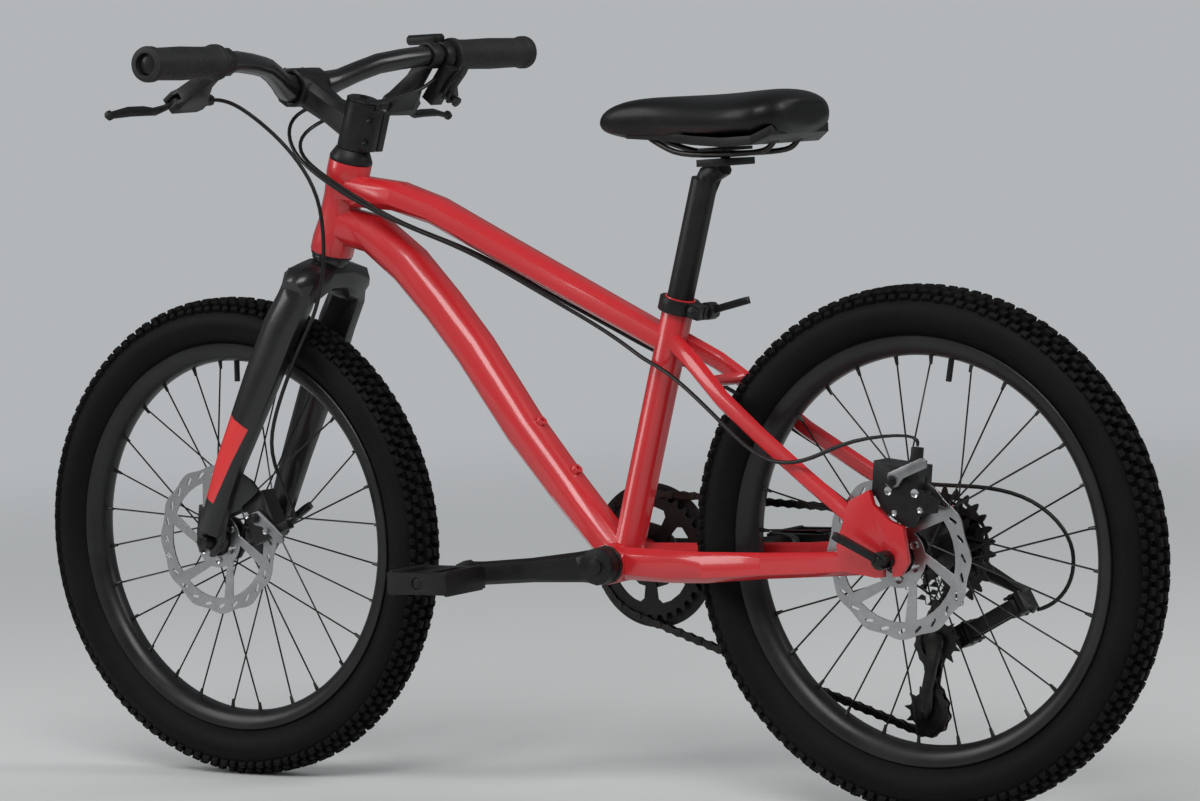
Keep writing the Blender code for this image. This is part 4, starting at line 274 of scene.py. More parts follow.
# %% [markdown]
# ## The finishes of this bike
#
# The frame is bright red under a clear coat. The coat is a second, very smooth
# layer in the shader, so it shows sharp soft-box reflections while the paint
# below stays a little rougher. The fork, the bar and the rims are black paint
# of the same kind but less shiny, and the small parts are cast or pressed in
# black metal and plastic, which scatter light much more.

# %% Paints
red_paint = new_finish(
    "red frame paint", (0.50, 0.013, 0.018), (0.44, 0.010, 0.014), 0.36,
    patch=5, spread_of=0.06,
)
set_coat(add_grain(red_paint, 260, 0.00003, 1), 0.6, 0.08)
black_paint = new_finish(
    "black gloss paint", (0.006, 0.006, 0.0065), (0.010, 0.010, 0.011), 0.34,
    patch=8, specular=0.35,
)
set_coat(add_grain(black_paint, 300, 0.00003, 1), 0.35, 0.12)
rim_black = new_finish(
    "black rim coating", (0.007, 0.007, 0.0075), (0.012, 0.012, 0.013), 0.36, 0.1,
    patch=20, specular=0.4,
)
add_grain(rim_black, 1500, 0.00002)

# %% [markdown]
# ## A stripe in the paint
#
# The left fork leg carries a red accent along its front edge. Paint lies in
# the surface, so the stripe is a mask in the material: a Mapping node moves
# and turns the Object coordinates until the stripe is upright about its own
# middle, and three comparisons cut out its length, its front edge and its leg.

# %% Fork paint
STRIPE_MIDDLE = Vector((389, 62, 343)) * MM
STRIPE_LEAN = math.radians(-32.97)
STRIPE_HALF = 47 * MM
STRIPE_EDGE = -7 * MM


def compare(material, source, operation, limit):
    node = material.node_tree.nodes.new("ShaderNodeMath")
    node.operation = operation
    node.inputs[1].default_value = limit
    material.node_tree.links.new(source, node.inputs[0])
    return node.outputs["Value"]


def both(material, one, other):
    node = material.node_tree.nodes.new("ShaderNodeMath")
    node.operation = "MULTIPLY"
    material.node_tree.links.new(one, node.inputs[0])
    material.node_tree.links.new(other, node.inputs[1])
    return node.outputs["Value"]


def striped(paint, name, colour):
    """A copy of a paint with one stripe of another colour in it."""
    material = paint.copy()
    material.name = name
    nodes, links = material.node_tree.nodes, material.node_tree.links
    shader = nodes["Principled BSDF"]
    place = nodes.new("ShaderNodeTexCoord")
    upright = nodes.new("ShaderNodeMapping")
    upright.vector_type = "TEXTURE"
    upright.inputs["Location"].default_value = STRIPE_MIDDLE
    upright.inputs["Rotation"].default_value = (0, STRIPE_LEAN, 0)
    links.new(place.outputs["Object"], upright.inputs["Vector"])
    parts = nodes.new("ShaderNodeSeparateXYZ")
    links.new(upright.outputs["Vector"], parts.inputs["Vector"])
    size = nodes.new("ShaderNodeMath")
    size.operation = "ABSOLUTE"
    links.new(parts.outputs["Z"], size.inputs[0])
    mask = compare(material, size.outputs["Value"], "LESS_THAN", STRIPE_HALF)
    front = compare(material, parts.outputs["X"], "GREATER_THAN", STRIPE_EDGE)
    mask = both(material, mask, front)
    leg = compare(material, parts.outputs["Y"], "GREATER_THAN", -STRIPE_MIDDLE.y)
    mask = both(material, mask, leg)
    over = nodes.new("ShaderNodeMix")
    over.data_type = "RGBA"
    over.inputs["B"].default_value = (*colour, 1)
    links.new(shader.inputs["Base Color"].links[0].from_socket, over.inputs["A"])
    links.new(mask, over.inputs["Factor"])
    links.new(over.outputs["Result"], shader.inputs["Base Color"])
    return material


fork_paint = striped(black_paint, "fork paint with red stripe", (0.60, 0.03, 0.03))

# %% Metals
black_alloy = new_finish(
    "black cast alloy", (0.006, 0.006, 0.0066), (0.012, 0.012, 0.0128), 0.42, 0.2,
    patch=30, specular=0.35,
)
add_grain(black_alloy, 1600, 0.00005)
bright_steel = new_finish(
    "ground disc steel", (0.50, 0.50, 0.51), (0.40, 0.40, 0.41), 0.32, 1.0, patch=40
)
add_grain(bright_steel, 900, 0.00002)
spoke_steel = new_finish(
    "dark spoke steel", (0.03, 0.03, 0.032), (0.06, 0.06, 0.062), 0.32, 0.9, patch=30
)
dark_steel = new_finish(
    "oiled dark steel", (0.03, 0.029, 0.028), (0.06, 0.057, 0.055), 0.36, 0.9, patch=60
)
add_grain(dark_steel, 1800, 0.00003)
bolt_steel = new_finish(
    "zinc bolt steel", (0.55, 0.55, 0.56), (0.35, 0.35, 0.36), 0.28, 1.0, patch=120
)
grey_alloy = new_finish(
    "grey pressed alloy", (0.22, 0.22, 0.23), (0.30, 0.30, 0.31), 0.38, 0.8, patch=50
)
add_grain(grey_alloy, 1400, 0.00004)

# %% Rubbers and plastics
tyre_rubber = new_finish(
    "tyre rubber", (0.0025, 0.0023, 0.0023), (0.006, 0.0056, 0.0054), 0.62,
    patch=9, spread_of=0.16, specular=0.12,
)
add_grain(tyre_rubber, 1100, 0.00012, 5)
grip_rubber = new_finish(
    "grip rubber", (0.012, 0.012, 0.0125), (0.020, 0.020, 0.021), 0.6,
    patch=30, spread_of=0.14, specular=0.3,
)
tube_rubber = new_finish(
    "valve rubber", (0.007, 0.007, 0.007), (0.012, 0.012, 0.012), 0.6, patch=30, specular=0.25
)
add_grain(tube_rubber, 1500, 0.00005)
black_plastic = new_finish(
    "black moulded plastic", (0.006, 0.006, 0.0065), (0.012, 0.012, 0.0125), 0.44,
    patch=35, specular=0.3,
)
add_grain(black_plastic, 1300, 0.00007)
cable_black = new_finish(
    "cable housing", (0.005, 0.005, 0.005), (0.010, 0.010, 0.010), 0.36, patch=25, specular=0.35
)
add_grain(cable_black, 2200, 0.00003)
saddle_vinyl = new_finish(
    "saddle vinyl", (0.003, 0.003, 0.0033), (0.006, 0.006, 0.0064), 0.38, patch=16, specular=0.2
)
cells = group_node(saddle_vinyl, LEATHER, Scale=520)
add_relief(saddle_vinyl, cells.outputs["Relief"], 0.00010)
set_coat(saddle_vinyl, 0.12, 0.2)
print(len(bpy.data.materials), "materials so far")

# %% [markdown]
# ## The ribs of the grips
#
# A grip is rubber with many shallow ribs that run round it. They are too fine
# to be worth modelling, so a wave texture makes them. The bar's ends run
# almost straight across the bike, so the bands follow the Y direction.


# %% Ribbed rubber
# A wave texture of scale 1 has this many radians to the metre
WAVE_RADIANS = 20


def add_ribs(material, pitch, depth):
    nodes, links = material.node_tree.nodes, material.node_tree.links
    place = nodes.new("ShaderNodeTexCoord")
    wave = nodes.new("ShaderNodeTexWave")
    wave.bands_direction = "Y"
    wave.inputs["Scale"].default_value = math.tau / (pitch * WAVE_RADIANS)
    links.new(place.outputs["Object"], wave.inputs["Vector"])
    add_relief(material, wave.outputs["Fac"], depth)
    return material


add_ribs(grip_rubber, 0.004, 0.0006)

# %% [markdown]
# ## Tools for working on a piece
#
# The next helpers do what a modeller does by hand over and over: select
# nothing, name the new object, merge loose corners, shade it smooth up to a
# given angle, and hand the piece over so that it moves with its body.


# %% Selecting, naming and finishing
def deselect():
    if bpy.context.object and bpy.context.object.mode != "OBJECT":
        bpy.ops.object.mode_set(mode="OBJECT")
    bpy.ops.object.select_all(action="DESELECT")


def pick(*objects):
    deselect()
    for obj in objects:
        obj.select_set(True)
    bpy.context.view_layer.objects.active = objects[0]
    return objects[0]


def put_down(obj, name, material, smooth=35):
    """Names a piece, applies its place to its mesh and sets its finish."""
    pick(obj)
    bpy.ops.object.transform_apply(location=True, rotation=True, scale=True)
    obj.name = name
    obj.data.name = name
    obj.data.materials.clear()
    obj.data.materials.append(material)
    bpy.ops.object.shade_smooth_by_angle(angle=math.radians(smooth))
    return obj


def stands_for(obj, node):
    """The piece takes the place of one solid and rides on the same body."""
    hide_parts(node)
    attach(obj, body_of[node])
    return obj


def goes_with(obj, node):
    """An extra piece, such as a bolt, that rides with a solid."""
    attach(obj, body_of[node])
    return obj


def own_copy(obj):
    """A linked-in copy of an object with a mesh of its own."""
    copy = obj.copy()
    copy.data = obj.data.copy()
    bpy.context.collection.objects.link(copy)
    return copy


def join(pieces):
    pick(*pieces)
    if len(pieces) > 1:
        bpy.ops.object.join()
    return bpy.context.object


# %% [markdown]
# ## Smoothing the machined pieces
#
# Most small pieces already have their right shape: they only need soft edges
# and smooth shading. A copy of the solid is merged, its flat triangles are
# dissolved into whole faces, and a narrow bevel catches the light along each
# edge. Without that thin highlight a machined part looks like cut paper.


# %% Copy, merge, bevel and shade
def softened(node, material, edge=0.5, sharp=35):
    """A copy of one solid with clean faces and narrow rounded edges."""
    pick(solids[node])
    bpy.ops.object.duplicate()
    piece = bpy.context.object
    bpy.ops.object.mode_set(mode="EDIT")
    bpy.ops.mesh.select_all(action="SELECT")
    bpy.ops.mesh.remove_doubles(threshold=MERGE)
    bpy.ops.mesh.dissolve_limited(angle_limit=math.radians(0.5))
    bpy.ops.object.mode_set(mode="OBJECT")
    if edge:
        bevel = piece.modifiers.new("edges", "BEVEL")
        bevel.width = edge * MM
        bevel.segments = 2
        bevel.limit_method = "ANGLE"
        bevel.angle_limit = math.radians(sharp + 3)
        bevel.use_clamp_overlap = True
        bpy.ops.object.modifier_apply(modifier=bevel.name)
    return put_down(piece, node + "_fine", material, sharp)


machined = {
    black_alloy: (
        "headset_upper", "headset_lower", "stem", "stem_faceplate", "stem_top_cap",
        "left_crank", "right_crank", "derailleur_body", "derailleur_outer_link",
        "derailleur_inner_link", "derailleur_knuckle", "front_caliper", "rear_caliper",
        "seatpost", "seat_collar", "front_skewer_lever", "rear_skewer_lever",
        "seat_collar_lever",
    ),
    black_plastic: (
        "left_brake_perch", "left_brake_lever", "right_brake_perch", "right_brake_lever",
        "shifter_body", "shift_thumb_lever", "shift_release_lever", "left_pedal",
        "right_pedal", "guide_pulley", "tension_pulley", "saddle_base",
    ),
    dark_steel: (
        "front_axle", "rear_axle", "derailleur_hanger", "bottom_bracket",
        "derailleur_cage",
    ),
    black_paint: ("handlebar",),
    fork_paint: ("fork",),
    red_paint: ("frame",),
    grey_alloy: ("front_caliper_arm", "rear_caliper_arm"),
    tube_rubber: ("front_inner_tube", "rear_inner_tube"),
    spoke_steel: ("front_hub", "rear_hub"),
}
ROUND_TUBES = ("fork", "handlebar", "frame", "seatpost", "left_crank", "right_crank")
for material, names in machined.items():
    for node in names:
        narrow = 0 if node.endswith(("tube", "hub")) else 0.5
        sharp = 48 if node in ROUND_TUBES else 35
        stands_for(softened(node, material, narrow, sharp), node)
print("Softened", sum(len(names) for names in machined.values()), "pieces")

# %% [markdown]
# ## Bent pieces
#
# Cable housings and saddle rails are bent from round stock. The solids have
# few sides and few bends, so a copy is turned back into four-sided faces and
# subdivided twice. Subdivision rounds both the section and the bends, as a
# housing really lies in the widest curve that it can.


# %% Rounding a bent piece
def rounded(node, material, levels=2):
    """A copy of a swept solid with its section and its bends rounded."""
    pick(solids[node])
    bpy.ops.object.duplicate()
    piece = bpy.context.object
    bpy.ops.object.mode_set(mode="EDIT")
    bpy.ops.mesh.select_all(action="SELECT")
    bpy.ops.mesh.remove_doubles(threshold=MERGE)
    bpy.ops.mesh.tris_convert_to_quads(
        face_threshold=math.radians(40), shape_threshold=math.radians(60)
    )
    bpy.ops.object.mode_set(mode="OBJECT")
    rounding = piece.modifiers.new("rounding", "SUBSURF")
    rounding.levels = levels
    rounding.render_levels = levels
    bpy.ops.object.modifier_apply(modifier=rounding.name)
    return put_down(piece, node + "_fine", material, 60)


for node in ("front_brake_cable", "rear_brake_cable", "shift_cable"):
    stands_for(rounded(node, cable_black), node)
stands_for(rounded("saddle_rails", dark_steel), "saddle_rails")

# %% [markdown]
# ## Turned pieces
#
# Tyres and rims are turned shapes. By hand one would draw a ring and pull it
# out again and again, changing its size each time until the section is right.
# The helper does just that: each point of the section is a radius and a place
# along the axle, and the last ring is joined to the first.


# %% Pulling a ring along a section
def pulled_ring(centre, section, sides):
    """A closed ring shape about the axle through the centre, from its section."""
    deselect()
    radius, place = section[0]
    bpy.ops.mesh.primitive_circle_add(
        vertices=sides,
        radius=radius * MM,
        location=centre + LEFT * place * MM,
        rotation=(math.radians(90), 0, 0),
    )
    ring = bpy.context.object
    bpy.ops.object.mode_set(mode="EDIT")
    bpy.ops.mesh.select_all(action="SELECT")
    for (old, before), (new, after) in zip(section, section[1:] + section[:1]):
        bpy.ops.mesh.extrude_edges_move()
        bpy.ops.transform.translate(value=LEFT * (after - before) * MM)
        bpy.ops.transform.resize(
            value=(new / old, 1, new / old), center_override=centre + LEFT * after * MM
        )
    bpy.ops.mesh.select_all(action="SELECT")
    bpy.ops.mesh.remove_doubles(threshold=2 * MERGE)
    bpy.ops.mesh.normals_make_consistent(inside=False)
    bpy.ops.object.mode_set(mode="OBJECT")
    return ring


def both_sides(half):
    """A section from its left half, given outwards from the middle."""
    return half + [(radius, -place) for radius, place in reversed(half) if place]


# %% [markdown]
# ## Rims
#
# The rim is a deep black channel with a rounded well and two upright walls
# that hold the tyre. Its light edge near the tyre shows all round the wheel.

# %% Both rims
RIM_HALF = [
    (189.3, 0), (189.4, 3.5), (190.6, 7.5), (194.0, 12.0), (198.5, 15.0), (203.5, 16.3),
    (208.0, 16.4), (208.9, 15.6), (208.6, 13.9), (204.5, 13.5), (203.2, 12.2), (202.6, 0),
]
RIM_SECTION = both_sides(RIM_HALF)
WHEELS = {"front": (FRONT_AXLE, 92.0), "rear": (REAR_AXLE, 101.5)}
for end, (axle, _) in WHEELS.items():
    rim = pulled_ring(axle, RIM_SECTION, 144)
    stands_for(put_down(rim, end + "_rim_fine", rim_black, 40), end + "_rim")
print("A rim's outer radius is", RIM_SECTION[6][0], "mm")

# %% [markdown]
# ## Tyres
#
# A knobbly tyre is a round casing with blocks on it. The casing is turned like
# the rim. The tread repeats sixty-two times round the wheel: a pair of blocks
# on the crown, a wider pair half a step on, and two rows on each shoulder. One
# block is modelled well, a cube that narrows upwards and has rounded edges,
# and then it is copied into one repeat, and the repeat round the wheel.

# %% The casing
CASING_HALF = [
    (251.4, 0), (250.8, 6.5), (248.8, 13.0), (245.0, 19.0), (239.5, 23.6), (233.0, 26.0),
    (226.5, 25.8), (220.0, 23.2), (214.5, 19.0), (210.4, 14.4), (209.3, 13.0), (203.7, 12.1),
]
INNER_HALF = [(229.5, 20.4), (240.0, 11.6), (244.8, 0)]
CASING_SECTION = both_sides(CASING_HALF + INNER_HALF)
TREAD_REPEATS = 62
# Each block: place in the repeat, place across, radius of its top, lean, size
TREAD_BLOCKS = [
    (0.00, 4.9, 257.8, 0, (10.5, 7.6)),
    (0.50, 7.6, 257.5, 6, (9.0, 8.6)),
    (0.25, 15.4, 254.4, 24, (9.5, 6.4)),
    (0.75, 15.8, 254.2, 24, (8.0, 6.8)),
    (0.00, 22.2, 248.6, 46, (11.0, 6.0)),
    (0.50, 22.8, 248.0, 50, (8.5, 6.6)),
]
BLOCK_HEIGHT = 8.0


def tread_block(length, width):
    """One rubber block, standing with its top at the origin."""
    deselect()
    bpy.ops.mesh.primitive_cube_add(size=1, location=(0, 0, -BLOCK_HEIGHT / 2 * MM))
    block = bpy.context.object
    block.scale = (length * MM, width * MM, BLOCK_HEIGHT * MM)
    bpy.ops.object.transform_apply(location=True, rotation=True, scale=True)
    top = [v for v in block.data.vertices if v.co.z > -0.001]
    for vertex in top:
        vertex.co.x *= 0.80
        vertex.co.y *= 0.82
    bevel = block.modifiers.new("edges", "BEVEL")
    bevel.width = 0.7 * MM
    bevel.segments = 1
    bpy.ops.object.modifier_apply(modifier=bevel.name)
    return block


def tread_repeat():
    """The blocks of one repeat, as one mesh about the wheel's own middle."""
    blocks = []
    for place, across, radius, lean, size in TREAD_BLOCKS:
        for side in (1, -1):
            block = tread_block(*size)
            turn = Matrix.Rotation(math.tau / TREAD_REPEATS * place, 4, "Y")
            stand = Matrix.Translation((0, side * across * MM, radius * MM))
            tilt = Matrix.Rotation(math.radians(-side * lean), 4, "X")
            block.data.transform(turn @ stand @ tilt)
            blocks.append(block)
    return join(blocks)


def full_tread():
    """The repeat copied all the way round."""
    repeat = tread_repeat()
    copies = [repeat]
    for i in range(1, TREAD_REPEATS):
        copy = own_copy(repeat)
        copy.data.transform(Matrix.Rotation(math.tau / TREAD_REPEATS * i, 4, "Y"))
        copies.append(copy)
    return join(copies)


# %% Both tyres
tread = full_tread()
for end, (axle, _) in WHEELS.items():
    casing = pulled_ring(axle, CASING_SECTION, 186)
    blocks = own_copy(tread)
    blocks.data.transform(Matrix.Translation(axle))
    tyre = put_down(join([casing, blocks]), end + "_tyre_fine", tyre_rubber, 40)
    stands_for(tyre, end + "_tyre")
    print(end, "tyre:", len(tyre.data.polygons), "faces")
bpy.data.objects.remove(tread)

# %% [markdown]
# ## Grips
#
# A grip is a rubber sleeve that is pushed over the end of the bar. It has a
# collar at its inner end, a waist for the fingers and a rounded cap at its
# outer end. It is turned about the wheel's direction first, then swung to the
# bar's own direction, because the bar's ends sweep a little backwards.

# %% Both grips
BAR_BEND = Vector((-43.5, 158, 28))
BAR_TIP = Vector((-60, 317, 28))
GRIP_HALF = [
    (11.4, 0), (17.8, 0), (18.5, 1.2), (18.5, 5.5), (17.6, 7), (16.6, 9), (16.2, 24),
    (16.6, 46), (17.0, 62), (16.5, 86), (16.2, 104), (16.8, 110), (17.9, 112), (18, 118),
    (17.2, 120.4), (14, 121.4), (11.4, 121.5),
]
for hand, side in (("left", 1), ("right", -1)):
    low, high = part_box(hand + "_grip")
    inner, outer = sorted((abs(low[1]), abs(high[1])))
    ends = [Vector((p.x, side * p.y, p.z)) for p in (BAR_BEND, BAR_TIP)]
    along = (ends[1] - ends[0]).normalized()
    # The sleeve's end faces lean with the bar, so they reach past their middles
    lean = math.hypot(along.x, along.z) * MM
    first, last = inner + GRIP_HALF[0][0] * lean, outer - GRIP_HALF[-2][0] * lean
    start = BAR_CLAMP + ends[0] * MM
    start += along * (first - abs(start.y)) / abs(along.y)
    stretch = (last - first) / abs(along.y) / (GRIP_HALF[-1][1] * MM)
    section = [(radius, place * stretch) for radius, place in GRIP_HALF]
    grip = pulled_ring(Vector((0, 0, 0)), section, 48)
    grip.data.transform(grip.matrix_world)
    grip.matrix_world = Matrix.Identity(4)
    swing = LEFT.rotation_difference(along).to_matrix().to_4x4()
    swing.translation = start
    grip.data.transform(swing)
    stands_for(put_down(grip, hand + "_grip_fine", grip_rubber, 50), hand + "_grip")
print("A grip is", round((last - first) / MM), "mm long")

# %% [markdown]
# ## Spoke nipples
#
# Each spoke ends in a small blackened nipple that sits in the rim. From a
# step away they only thicken the spokes' ends, and they tell the eye that the
# spokes really hold the rim.

# %% Nipples
SPOKES = 28
NIPPLE_AT = 185.5


def nipple(axle, angle, across):
    out = Vector((math.cos(angle), 0, math.sin(angle)))
    deselect()
    bpy.ops.mesh.primitive_cone_add(
        vertices=8, radius1=1.5 * MM, radius2=2.3 * MM, depth=9 * MM,
        location=axle + out * NIPPLE_AT * MM + LEFT * across * MM,
        rotation=out.to_track_quat("Z", "Y").to_euler(),
    )
    return bpy.context.object


for end, (axle, valve) in WHEELS.items():
    made = []
    for i in range(SPOKES):
        step = (i // 2 + (0.25, 0.75)[i % 2]) * math.tau / (SPOKES / 2)
        made.append(nipple(axle, math.radians(valve) - step, (2.5, -2.5)[i % 2]))
    goes_with(put_down(join(made), end + "_nipples", dark_steel), end + "_rim")

# %% [markdown]
# ## Brake discs
#
# A disc is stamped from flat steel: a waved braking ring with slots, six
# leaning arms and a carrier with six bolt holes. A filled 2D curve is the
# natural tool, because every extra closed outline inside it becomes a hole.


# %% Flat plates from outlines
def flat_plate(outlines, thickness, edge=0.1):
    """A plate in the plane across the axle, from closed outlines in millimetres."""
    curve = bpy.data.curves.new("outline", "CURVE")
    curve.dimensions = "2D"
    curve.fill_mode = "BOTH"
    curve.extrude = (thickness / 2 - edge) * MM
    curve.bevel_depth = edge * MM
    curve.bevel_resolution = 0
    curve.offset = -edge * MM
    for outline in outlines:
        spline = curve.splines.new("POLY")
        spline.points.add(len(outline) - 1)
        for point, (x, y) in zip(spline.points, outline):
            point.co = (x * MM, y * MM, 0, 1)
        spline.use_cyclic_u = True
    obj = bpy.data.objects.new("plate", curve)
    bpy.context.collection.objects.link(obj)
    obj.rotation_euler = (math.radians(90), 0, 0)
    pick(obj)
    bpy.ops.object.convert(target="MESH")
    plate = bpy.context.object
    bpy.ops.object.mode_set(mode="EDIT")
    bpy.ops.mesh.select_all(action="SELECT")
    bpy.ops.mesh.remove_doubles(threshold=MERGE)
    bpy.ops.object.mode_set(mode="OBJECT")
    return plate


def ring_of(radius, sides, centre=(0, 0)):
    points = []
    for i in range(sides):
        angle = math.tau * i / sides
        points.append(
            (centre[0] + radius * math.cos(angle), centre[1] + radius * math.sin(angle))
        )
    return points


def polar(radius, angle):
    return (radius * math.cos(angle), radius * math.sin(angle))


# %% The discs
DISC_RADIUS, DISC_WAVE, DISC_WAVES = 78.4, 1.5, 12
DISC_BORE = 17.6
DISC_BOLTS, BOLT_CIRCLE, BOLT_TURN = 6, 22, 0.5
SLOT_CIRCLE, SLOTS = 71.5, 24


def slot_outline(centre, direction, half=3.4, radius=1.5):
    """A small round-ended slot, leaning across the braking ring."""
    along = (math.cos(direction), math.sin(direction))
    points = []
    for end in (1, -1):
        for i in range(7):
            angle = direction + (0 if end > 0 else math.pi) - math.pi / 2 + math.pi * i / 6
            points.append(
                (
                    centre[0] + end * half * along[0] + radius * math.cos(angle),
                    centre[1] + end * half * along[1] + radius * math.sin(angle),
                )
            )
    return points


def disc_outlines():
    edge = []
    for i in range(144):
        angle = math.tau * i / 144
        edge.append(polar(DISC_RADIUS + DISC_WAVE * math.cos(DISC_WAVES * angle), angle))
    outlines = [edge, ring_of(DISC_BORE, 36)]
    for i in range(DISC_BOLTS):
        start = math.tau / DISC_BOLTS * i
        lean = 0.35
        inner = [polar(30, start + 0.16 + 0.145 * k) for k in range(6)]
        outer = [polar(63, start + lean + 0.10 + 0.17 * k) for k in range(5, -1, -1)]
        outlines.append(inner + outer)
        outlines.append(ring_of(2.7, 12, polar(BOLT_CIRCLE, start + BOLT_TURN)))
        for k in range(SLOTS // DISC_BOLTS):
            middle = start + math.tau / SLOTS * k
            outlines.append(slot_outline(polar(SLOT_CIRCLE, middle), middle + 1.1))
    return outlines


for end, (axle, _) in WHEELS.items():
    low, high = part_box(end + "_rotor")
    disc = flat_plate(disc_outlines(), (high[1] - low[1]) / MM)
    disc.location = axle + LEFT * (low[1] + high[1]) / 2
    stands_for(put_down(disc, end + "_rotor_fine", bright_steel), end + "_rotor")
print("Disc radius", round(DISC_RADIUS + DISC_WAVE, 1), "mm")

# %% [markdown]
# ## Chain path
#
# The chain runs over the chainring, the driven cog, and the two small wheels
# of the derailleur. Its path is worked out, not drawn: straight runs that
# touch two wheels, and an arc on each wheel. A wheel that the chain passes on
# its other side has a negative radius.

# %% Wheels of the drive
PITCH = 12.7
CHAINRING_TEETH, DRIVEN_TEETH, PULLEY_TEETH = 32, 13, 11
RING_Y, DRIVEN_Y = -44.5, -55.0


def pitch_radius(teeth):
    return PITCH / 2 / math.sin(math.pi / teeth)


DRIVE = [
    (Vector((-75, 241)), pitch_radius(CHAINRING_TEETH), RING_Y),
    (Vector((-427, 258)), pitch_radius(DRIVEN_TEETH), DRIVEN_Y),
    (Vector((-404, 162)), -pitch_radius(PULLEY_TEETH), DRIVEN_Y),
    (Vector((-387, 92)), pitch_radius(PULLEY_TEETH), DRIVEN_Y),
]


def turn_left(vector):
    return Vector((-vector.y, vector.x))


def chain_pieces():
    """Straight runs and arcs in order, each with its length and its data."""
    runs = []
    for i, (c1, r1, y1) in enumerate(DRIVE):
        c2, r2, y2 = DRIVE[(i + 1) % len(DRIVE)]
        gap = c2 - c1
        change = r2 - r1
        length = math.sqrt(gap.length_squared - change * change)
        ahead = (gap * length - turn_left(gap) * change) / gap.length_squared
        side = turn_left(ahead)
        runs.append((c1 - side * r1, c2 - side * r2, ahead, length, y1, y2))
    pieces = []
    for i, (start, end, ahead, length, y1, y2) in enumerate(runs):
        pieces.append(("run", length, (start, ahead, y1, y2)))
        centre, radius, y = DRIVE[(i + 1) % len(DRIVE)]
        following = runs[(i + 1) % len(runs)][0]
        first = math.atan2(*(end - centre).yx)
        last = math.atan2(*(following - centre).yx)
        sweep = (last - first) % math.tau if radius > 0 else -((first - last) % math.tau)
        pieces.append(("arc", abs(sweep * radius), (centre, abs(radius), first, sweep, y)))
    return pieces


def chain_point(pieces, distance):
    """Place and direction at a distance along the chain, in metres."""
    for kind, length, data in pieces:
        if distance > length:
            distance -= length
            continue
        share = distance / length
        if kind == "run":
            start, ahead, y1, y2 = data
            flat = start + ahead * distance
            y = y1 + (y2 - y1) * share * share * (3 - 2 * share)
            return Vector((flat.x, y, flat.y)) * MM, Vector((ahead.x, 0, ahead.y))
        centre, radius, first, sweep, y = data
        angle = first + sweep * share
        out = Vector((math.cos(angle), math.sin(angle)))
        ahead = turn_left(out) * math.copysign(1, sweep)
        flat = centre + out * radius
        return Vector((flat.x, y, flat.y)) * MM, Vector((ahead.x, 0, ahead.y))
    return chain_point(pieces, 0)


pieces = chain_pieces()
chain_length = sum(length for _, length, _ in pieces)
links = 2 * round(chain_length / PITCH / 2)
step = chain_length / links
print("The chain has", links, "links")

# %% [markdown]
# ## Chain links
#
# A chain alternates narrow inner links, which hold the rollers, and wider
# outer links, which hold the pins. Each plate has the shape of an eight. One
# link of each kind is made, then copied along the path from pin to pin.


# %% One link of each kind
PLATE_END, PLATE_WAIST = 4.1, 2.9


def eight_outline():
    points = []
    for end in (1, -1):
        for i in range(9):
            angle = (0 if end > 0 else math.pi) - math.pi / 2 + math.pi * i / 8
            points.append(
                (end * PITCH / 2 + PLATE_END * math.cos(angle), PLATE_END * math.sin(angle))
            )
        points.append((0, end * PLATE_WAIST))
    return points


def link_mesh(gap, roller_radius, roller_half):
    """Two plates across the chain and a roller or pin at each end."""
    made = []
    for side in (1, -1):
        plate = flat_plate([eight_outline()], 1.0)
        plate.location = LEFT * side * gap * MM
        made.append(plate)
    for end in (1, -1):
        deselect()
        bpy.ops.mesh.primitive_cylinder_add(
            vertices=12, radius=roller_radius * MM, depth=roller_half * 2 * MM,
            location=(end * PITCH / 2 * MM, 0, 0), rotation=(math.radians(90), 0, 0),
        )
        made.append(bpy.context.object)
    link = join(made)
    pick(link)
    bpy.ops.object.transform_apply(location=True, rotation=True, scale=True)
    return link


inner_link = link_mesh(2.0, 3.6, 1.6)
outer_link = link_mesh(3.1, 1.8, 3.8)

# %% All the links along the path
made = []
for i in range(links):
    source = inner_link if i % 2 == 0 else outer_link
    here, _ = chain_point(pieces, step * i)
    there, _ = chain_point(pieces, step * (i + 1) % chain_length)
    ahead = (there - here).normalized()
    upward = ahead.cross(LEFT).normalized()
    across = upward.cross(ahead)
    place = Matrix((ahead, across, upward)).transposed().to_4x4()
    place.translation = (here + there) / 2
    copy = own_copy(source)
    copy.data.transform(place)
    made.append(copy)
stands_for(put_down(join(made), "chain_fine", dark_steel), "chain")
bpy.data.objects.remove(inner_link)
bpy.data.objects.remove(outer_link)

# %% [markdown]
# ## Cogs
#
# The cassette is a stack of seven toothed cogs. A roller sits between two
# teeth, so the tooth tips lie half a tooth on from the rollers. The phase of
# the driven cog comes from the chain's own rollers, and the others may stand
# at any angle.


# %% Toothed outlines
ROOT_DEPTH, TIP_HEIGHT = 3.6, 3.2


def cog_outline(teeth, phase):
    radius = pitch_radius(teeth)
    points = []
    for i in range(teeth):
        middle = phase + math.tau * (i + 0.5) / teeth
        root, tip = radius - ROOT_DEPTH, radius + TIP_HEIGHT
        for r, across in (
            (root, -3.7), (radius, -2.7), (tip, -0.9), (tip, 0.9), (radius, 2.7), (root, 3.7),
        ):
            points.append(polar(r, middle + across / r))
    return points


